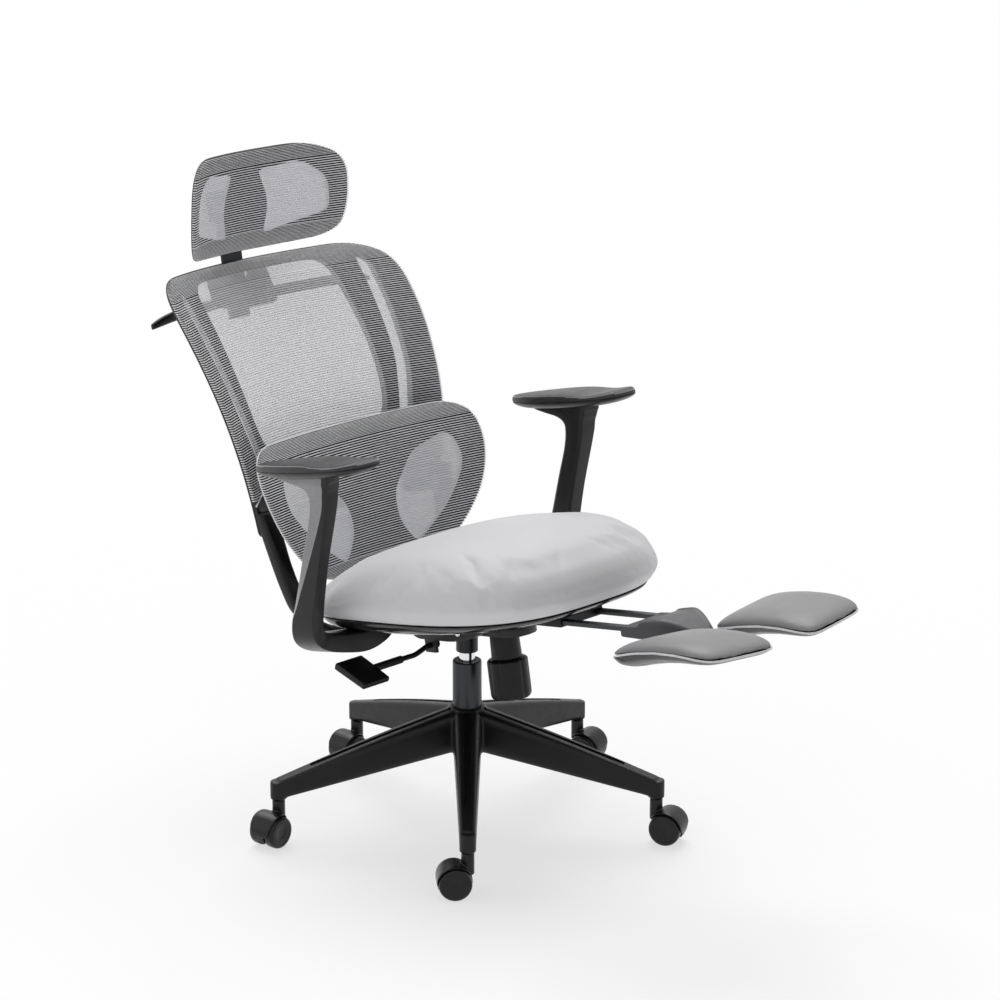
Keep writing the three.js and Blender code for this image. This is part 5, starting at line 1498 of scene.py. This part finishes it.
def makeLumbar():
    holes = sideHoles(lumbar, "leaf")
    shell = panelFrame("lumbarFrameLook", lumbar, holes, paints["frame"])
    wear(shell, "lumbar", "frame", "lumbar_frame")
    net = panelNet("lumbarNet", lumbar, holes, paints["closeNet"])
    ribs = panelRibs("lumbarRibs", lumbar)
    edge = rimBead("lumbarPiping", lumbar, paints["rib"])
    stretch(lumbar, net, [ribs, edge], "lumbarFrameLook", "lumbar")
    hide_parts("lumbar_mesh")
    print("lumbar pad")


def makeHeadrest():
    paint = paints["frame"]
    holes = sideHoles(head, "window")
    shell = panelFrame("headShell", head, holes, paint)
    y, z = head["pin"]
    radius, half = head["eye"]
    profile = softProfile([(0, -half), (radius, -half), (radius, half), (0, half)], head["neckEdge"])
    eye = turnedPiece("headEye", profile, paint, crosswise(y, z), roundness["middle"])
    rear = front(head, 0, z) + head["thickness"] / 2
    tall, short = head["neck"]
    corners = [(rear, z - tall), (y, z - short), (y, z + short), (rear, z + tall)]
    outline = roundedOutline([(*corner, head["neckRounding"]) for corner in corners])
    neck = slab("headNeck", outline, [], -half, half, head["neckEdge"], flatAcross, paint,
                spacing=head["neckSpacing"])
    bead = rimBead("headBead", head, paint)
    whole = merged("headFrameLook", [shell, eye, neck, bead], paint, weave["frameCrease"])
    wear(whole, "headrest", "frame", "headrest_frame")
    net = panelNet("headNet", head, holes, paints["closeNet"])
    ribs = panelRibs("headRibs", head)
    stretch(head, net, [ribs], "headFrameLook", "headrest")
    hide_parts("headrest_mesh")
    print("headrest")


# Yoke, coat hanger and its bracket

yoke = {
    "halfSpread": 207, "cross": (196, 14), "top": (283, 246),
    "halfWidth": 20, "halfThickness": 14, "lying": 0.7,
    "stations": [  # shares of the half spread, way back, way up, quarter turn, half width
        (0, 0, 0, 0, 1), (0.34, 0.03, 0.004, 0, 1), (0.6, 0.22, 0.026, 0.13, 0.95),
        (0.77, 0.48, 0.1, 0.44, 0.85),
        (0.865, 0.67, 0.23, 0.76, 0.75), (0.91, 0.79, 0.405, 0.93, 0.72), (0.94, 0.88, 0.586, 1, 0.74),
        (0.97, 0.95, 0.8, 1, 0.82), (1, 1, 1, 1, 0.9),
    ],
    "arm": [(112, 12), (112, 25), (180, 25), (196, 24), (196, 4), (180, 4), (116, 10)],
    "armHalfWidth": 42, "armRounding": 3, "armEdge": 2, "armSpacing": 2,
    "bossRadius": 12, "pin": (112, 22), "pinRoom": (5.4, -60, 60),  # radius and ends
    "frameRoom": (20, 196, 640, 160),  # beyond the back's side, foot, top, depth
    "roomGap": -0.3, "roomGrid": 16, "roomSpacing": 8,
    "exponent": 4, "rings": 60, "points": 36, "voxel": 2.2, "smoothing": 4, "crease": 40,
}
bracket = {
    "outline": [(58, 643, 4), (50, 604, 14), (44, 567, 16)],
    "hole": [(44, 627, 4), (38, 611, 4)],
    "rear": 548, "clearance": 0.4, "spacing": 2.5, "grid": 14,
}
hanger = {
    "halfLength": 252, "y": 505, "z": 582, "sweep": 42, "droop": 8, "droopStart": 0.6,
    "halfDepth": 7, "halfHeight": 9, "taper": 0.45, "taperPower": 8,
    "tip": (0.999, 0.75),  # where the tip starts, how much thinner it is
    "exponent": 3, "rings": 61,
}


def makeYoke():
    paint = paints["base"]
    shells = []
    for mirror in (-1, 1):
        rings = []
        for aside, rearward, upward, quarter, width in between(yoke["stations"], yoke["rings"]):
            angle = quarter * math.pi / 2
            y = yoke["cross"][0] + rearward * (yoke["top"][0] - yoke["cross"][0])
            z = yoke["cross"][1] + upward * (yoke["top"][1] - yoke["cross"][1])
            half = width * yoke["halfWidth"]
            thick = yoke["halfThickness"]
            wide = (mirror * half * math.sin(angle), half * math.cos(angle), 0)
            tall = (0, thick * math.sin(angle), thick * math.cos(angle) * yoke["lying"])
            centre = (mirror * aside * yoke["halfSpread"], y, z)
            rings.append(superRing(centre, wide, tall, yoke["exponent"], yoke["points"]))
        shells.append(loft("yokeSide", rings, paint))
    half = yoke["armHalfWidth"]
    outline = roundedOutline([(y, z, yoke["armRounding"]) for y, z in yoke["arm"]])
    shells.append(slab("yokeArm", outline, [], -half, half, yoke["armEdge"], flatAcross, paint,
                       spacing=yoke["armSpacing"]))
    across = crosswise(*yoke["pin"])
    shells.append(cylinder("boss", yoke["bossRadius"], -half, half, paint, across, roundness["middle"]))
    whole = fused(merged("yokeLook", shells, paint), paint, yoke)
    beyond, low, high, deep = yoke["frameRoom"]
    wide = back["halfWidth"] + beyond
    corners = [(-wide, low), (wide, low), (wide, high), (-wide, high)]
    room = slab("frameRoom", corners, [], yoke["roomGap"], deep, 0.0,
                lambda x, z, depth: (x, front(back, x, z) + depth, z), paint,
                grid=yoke["roomGrid"], spacing=yoke["roomSpacing"])
    pin = cylinder("pinRoom", *yoke["pinRoom"], paint, across, roundness["small"])
    carve(whole, [room, pin], paint, yoke["crease"])
    wear(whole, "back", "nylon", "back_yoke")


def makeBracket():
    paint = paints["frame"]
    outline = roundedOutline(bothSides(bracket["outline"]))
    hole = roundedOutline(bothSides(bracket["hole"]))

    def shape(x, z, share):
        near = front(back, x, z) + back["thickness"] + bracket["clearance"]
        return x, near + share * (bracket["rear"] - near), z

    body = slab("hangerBracketLook", outline, [hole], 0, 1, 0.0, shape, paint,
                spacing=bracket["spacing"], grid=bracket["grid"])
    wear(body, "back", "frame", "hanger_bracket")


def makeHanger():
    rings = []
    tipStart, tipShare = hanger["tip"]
    for share in np.sin(np.linspace(-1, 1, hanger["rings"]) * math.pi / 2):
        beyond = max(0, abs(share) - hanger["droopStart"]) / (1 - hanger["droopStart"])
        taper = 1 - hanger["taper"] * abs(share) ** hanger["taperPower"]
        if abs(share) > tipStart:
            taper *= tipShare
        y = hanger["y"] - hanger["sweep"] * share**2
        z = hanger["z"] - hanger["droop"] * beyond**2
        deep, tall = (0, hanger["halfDepth"] * taper, 0), (0, 0, hanger["halfHeight"] * taper)
        centre = (share * hanger["halfLength"], y, z)
        rings.append(superRing(centre, deep, tall, hanger["exponent"], roundness["small"]))
    wear(loft("coatHangerLook", rings, paints["base"]), "back", "nylon", "coat_hanger")


# Footrest

foot = {
    "capFront": -536, "capRear": -383, "capLow": 25, "capHigh": 73,
    "cap": [  # y, half width, lower and upper height, all shares, from the rear
        (0, 0.97, 0.24, 0.66), (0.03, 1, 0.22, 0.67), (0.2, 1, 0.2, 0.7), (0.24, 1, 0.19, 0.72),
        (0.29, 1, 0.18, 0.86), (0.42, 0.99, 0.14, 0.94), (0.55, 0.93, 0.1, 0.98), (0.68, 0.77, 0.05, 0.87),
        (0.8, 0.58, 0.01, 0.69), (0.9, 0.4, 0.02, 0.52), (0.97, 0.28, 0.07, 0.38), (1, 0.22, 0.12, 0.31),
    ],
    "capHalfWidth": 52,
    "dish": 2.6,  # how far the cap's top dips between its raised rims
    "dishEdge": (0.8, 0.12),  # where the dip starts and how far it takes, shares of the half width
    "x": 112, "halfWidth": 78, "y": -598, "halfDepth": 110,
    "rim": 42, "arch": 14, "nod": 4, "roll": 5, "slant": 8, "exponent": 6,
    "crown": 18,
    "pad": [
        (0.04, 0.955), (0.07, 0.985), (0.16, 0.995), (0.34, 0.975), (0.52, 0.93), (0.7, 0.85), (0.84, 0.74),
        (0.94, 0.6), (0.99, 0.42), (1, 0.2), (1, 0),
    ],
    "shell": [
        (1, 0.2), (1, 0.52), (0.94, 0.66), (0.84, 0.76), (0.68, 0.85), (0.5, 0.92), (0.3, 0.96),
        (0.12, 0.99), (0.03, 1), (0, 0.985),
    ],
    "shellDepth": 29, "frontThin": 0.5,
    "axle": (-528, 32, 5.4, 86),  # y, z, radius, half length
    "voxel": 3.4, "pressure": 4, "mostSwell": 4,
    "pipingRadius": 1.7, "pipingShare": 0.988, "pipingHeight": -0.6, "pipingSides": 10,
    "padFoot": 0.8,  # of the pad over its rim
    "points": 112, "padRings": 22, "shellRings": 30, "shellCrease": 50, "carvedCrease": 40,
    "capRings": 60, "capExponent": 6,
}


def footRing(height, share):
    ring = superRing((0, 0, 0), (foot["halfWidth"], 0, 0), (0, foot["halfDepth"], 0), foot["exponent"],
                     foot["points"])
    placed = []
    for x, y, _ in ring:
        along, outward = share * y / foot["halfDepth"], share * x / foot["halfWidth"]
        level = foot["rim"] + foot["arch"] * (1 - along**2) - foot["nod"] * along + foot["roll"] * outward
        thin = 1 - foot["frontThin"] * (0.5 - along / 2) if height < 0 else 1
        back = foot["y"] + y * share + foot["slant"] * outward
        placed.append((foot["x"] + x * share, back, level + height * thin))
    return placed


def makeFootPads():
    for name, mirror in (("left", 1), ("right", -1)):
        place = inChair @ Matrix.Diagonal((mirror, 1, 1, 1))
        rings = [footRing(foot["padFoot"] + height * foot["crown"], share)
                 for height, share in between(foot["pad"], foot["padRings"])]
        pad = loft("footPadLook_" + name, rings, paints["footPad"], place)
        swell(pad, foot, paints["footPad"])
        wear(pad, "foot_pads", "foot_pad", "foot_pad_" + name)
        rings = [footRing(-depth * foot["shellDepth"], share)
                 for depth, share in between(foot["shell"], foot["shellRings"])]
        shell = loft("footShellLook_" + name, rings, paints["pan"], place, foot["shellCrease"])
        y, z, radius, half = foot["axle"]
        room = cylinder("axleRoom", radius, -half, half, paints["pan"], crosswise(y, z), roundness["small"])
        carve(shell, [room], paints["pan"], foot["carvedCrease"])
        wear(shell, "foot_pads", "pan", "foot_shell_" + name)
        line = footRing(foot["pipingHeight"], foot["pipingShare"])
        piping = sweptLines("footPiping_" + name, [line], foot["pipingRadius"], foot["pipingSides"],
                            paints["piping"], place, closed=True)
        wear(piping, "foot_pads", "bright_steel")


def makeEndCap():
    rings = []
    height = foot["capHigh"] - foot["capLow"]
    for along, wide, low, high in between(foot["cap"], foot["capRings"]):
        y = foot["capRear"] - along * (foot["capRear"] - foot["capFront"])
        half = foot["capHalfWidth"] * wide
        bottom, top = foot["capLow"] + low * height, foot["capLow"] + high * height
        middle, tall = (bottom + top) / 2, (top - bottom) / 2
        ring = superRing((0, y, middle), (half, 0, 0), (0, 0, tall), foot["capExponent"], roundness["large"])
        dished = []
        for x, spotY, z in ring:
            edge, slope = foot["dishEdge"]
            share = min(1, max(0, (edge - abs(x) / half) / slope))
            dip = foot["dish"] * share**2 * (3 - 2 * share)
            dished.append((x, spotY, z - dip if z > middle else z))
        rings.append(dished)
    cap = loft("endCapLook", rings, paints["cap"], sharpAngle=foot["shellCrease"])
    wear(cap, "footrest", "pan", "footrest_end_cap")


# Stage

studio = {
    "floorSize": 30,
    "floorColor": (0.93, 0.93, 0.935, 1),
    "lights": [  # name, where it comes from, how wide it looks in degrees, strength
        ("keyLight", (1.2, 1.5, 3.4), 50, 2.1),
        ("rearLight", (-2.4, 1.2, 1.6), 60, 0.35),
        ("frontLight", (-1.0, -2.4, 2.9), 60, 0.12),
    ],
    "worldStrength": 0.272,
    "floorGlow": 0.12,
    "seenWhite": 0.6,  # share of plain white in the floor that the camera sees
}
white = (1, 1, 1, 1)


def makeFloor():
    size = studio["floorSize"]
    mesh = bpy.data.meshes.new("floor")
    mesh.from_pydata([(-size, -size, 0), (size, -size, 0), (size, size, 0), (-size, size, 0)], [],
                     [(0, 1, 2, 3)])
    paint = Paint("paleFloor")
    matte = paint.add("ShaderNodeBsdfDiffuse", {}, {"Color": studio["floorColor"]})
    faint = paint.add("ShaderNodeEmission", {}, {"Color": white, "Strength": studio["floorGlow"]})
    lit = paint.add("ShaderNodeAddShader", {}, {0: matte, 1: faint})
    glow = paint.add("ShaderNodeEmission", {}, {"Color": white, "Strength": 1.0})
    seen = paint.add("ShaderNodeLightPath", {}, {}, "Is Camera Ray")
    mirrored = paint.add("ShaderNodeLightPath", {}, {}, "Is Glossy Ray")
    share = seen * studio["seenWhite"] + mirrored
    mixed = paint.add("ShaderNodeMixShader", {}, {0: share, 1: lit, 2: glow})
    paint.add("ShaderNodeOutputMaterial", {}, {"Surface": mixed})
    mesh.materials.append(paint.material)
    linked("floor", mesh)


def makeBackdrop():
    # Plain white to the camera and to what mirrors or lets it through, dimmer as a light.
    world = bpy.data.worlds.new("studio")
    bpy.context.scene.world = world
    world.use_nodes = True
    sky = Nodes(world.node_tree)
    direct = 0.0
    for kind in ("Is Camera Ray", "Is Glossy Ray", "Is Transmission Ray"):
        ray = sky.add("ShaderNodeLightPath", {}, {}, kind)
        direct = ray.maths("MAXIMUM", direct, ray)
    strength = direct * (1 - studio["worldStrength"]) + studio["worldStrength"]
    background = sky.add("ShaderNodeBackground", {}, {"Color": white, "Strength": strength})
    sky.add("ShaderNodeOutputWorld", {}, {"Surface": background})


def makeLights():
    for name, place, wide, power in studio["lights"]:
        data = bpy.data.lights.new(name, "SUN")
        data.angle = math.radians(wide)
        data.energy = power
        turned = Vector(place).to_track_quat("Z", "Y").to_matrix().to_4x4()
        linked(name, data).matrix_world = Matrix.Translation(place) @ turned
    bpy.context.scene.view_settings.view_transform = "Standard"


makeStar()
makeCasters()
print("star base and casters")
makeLift()
makeMechanism()
makeKnob()
makeLever()
print("gas lift, mechanism and controls")
makePan()
makeCushion()
print("seat")
makeArm()
print("arms")
makeBack()
makeLumbar()
makeHeadrest()
makeYoke()
makeBracket()
makeHanger()
print("yoke and coat hanger")
makeEndCap()
makeFootPads()
print("footrest")
makeFloor()
makeBackdrop()
makeLights()
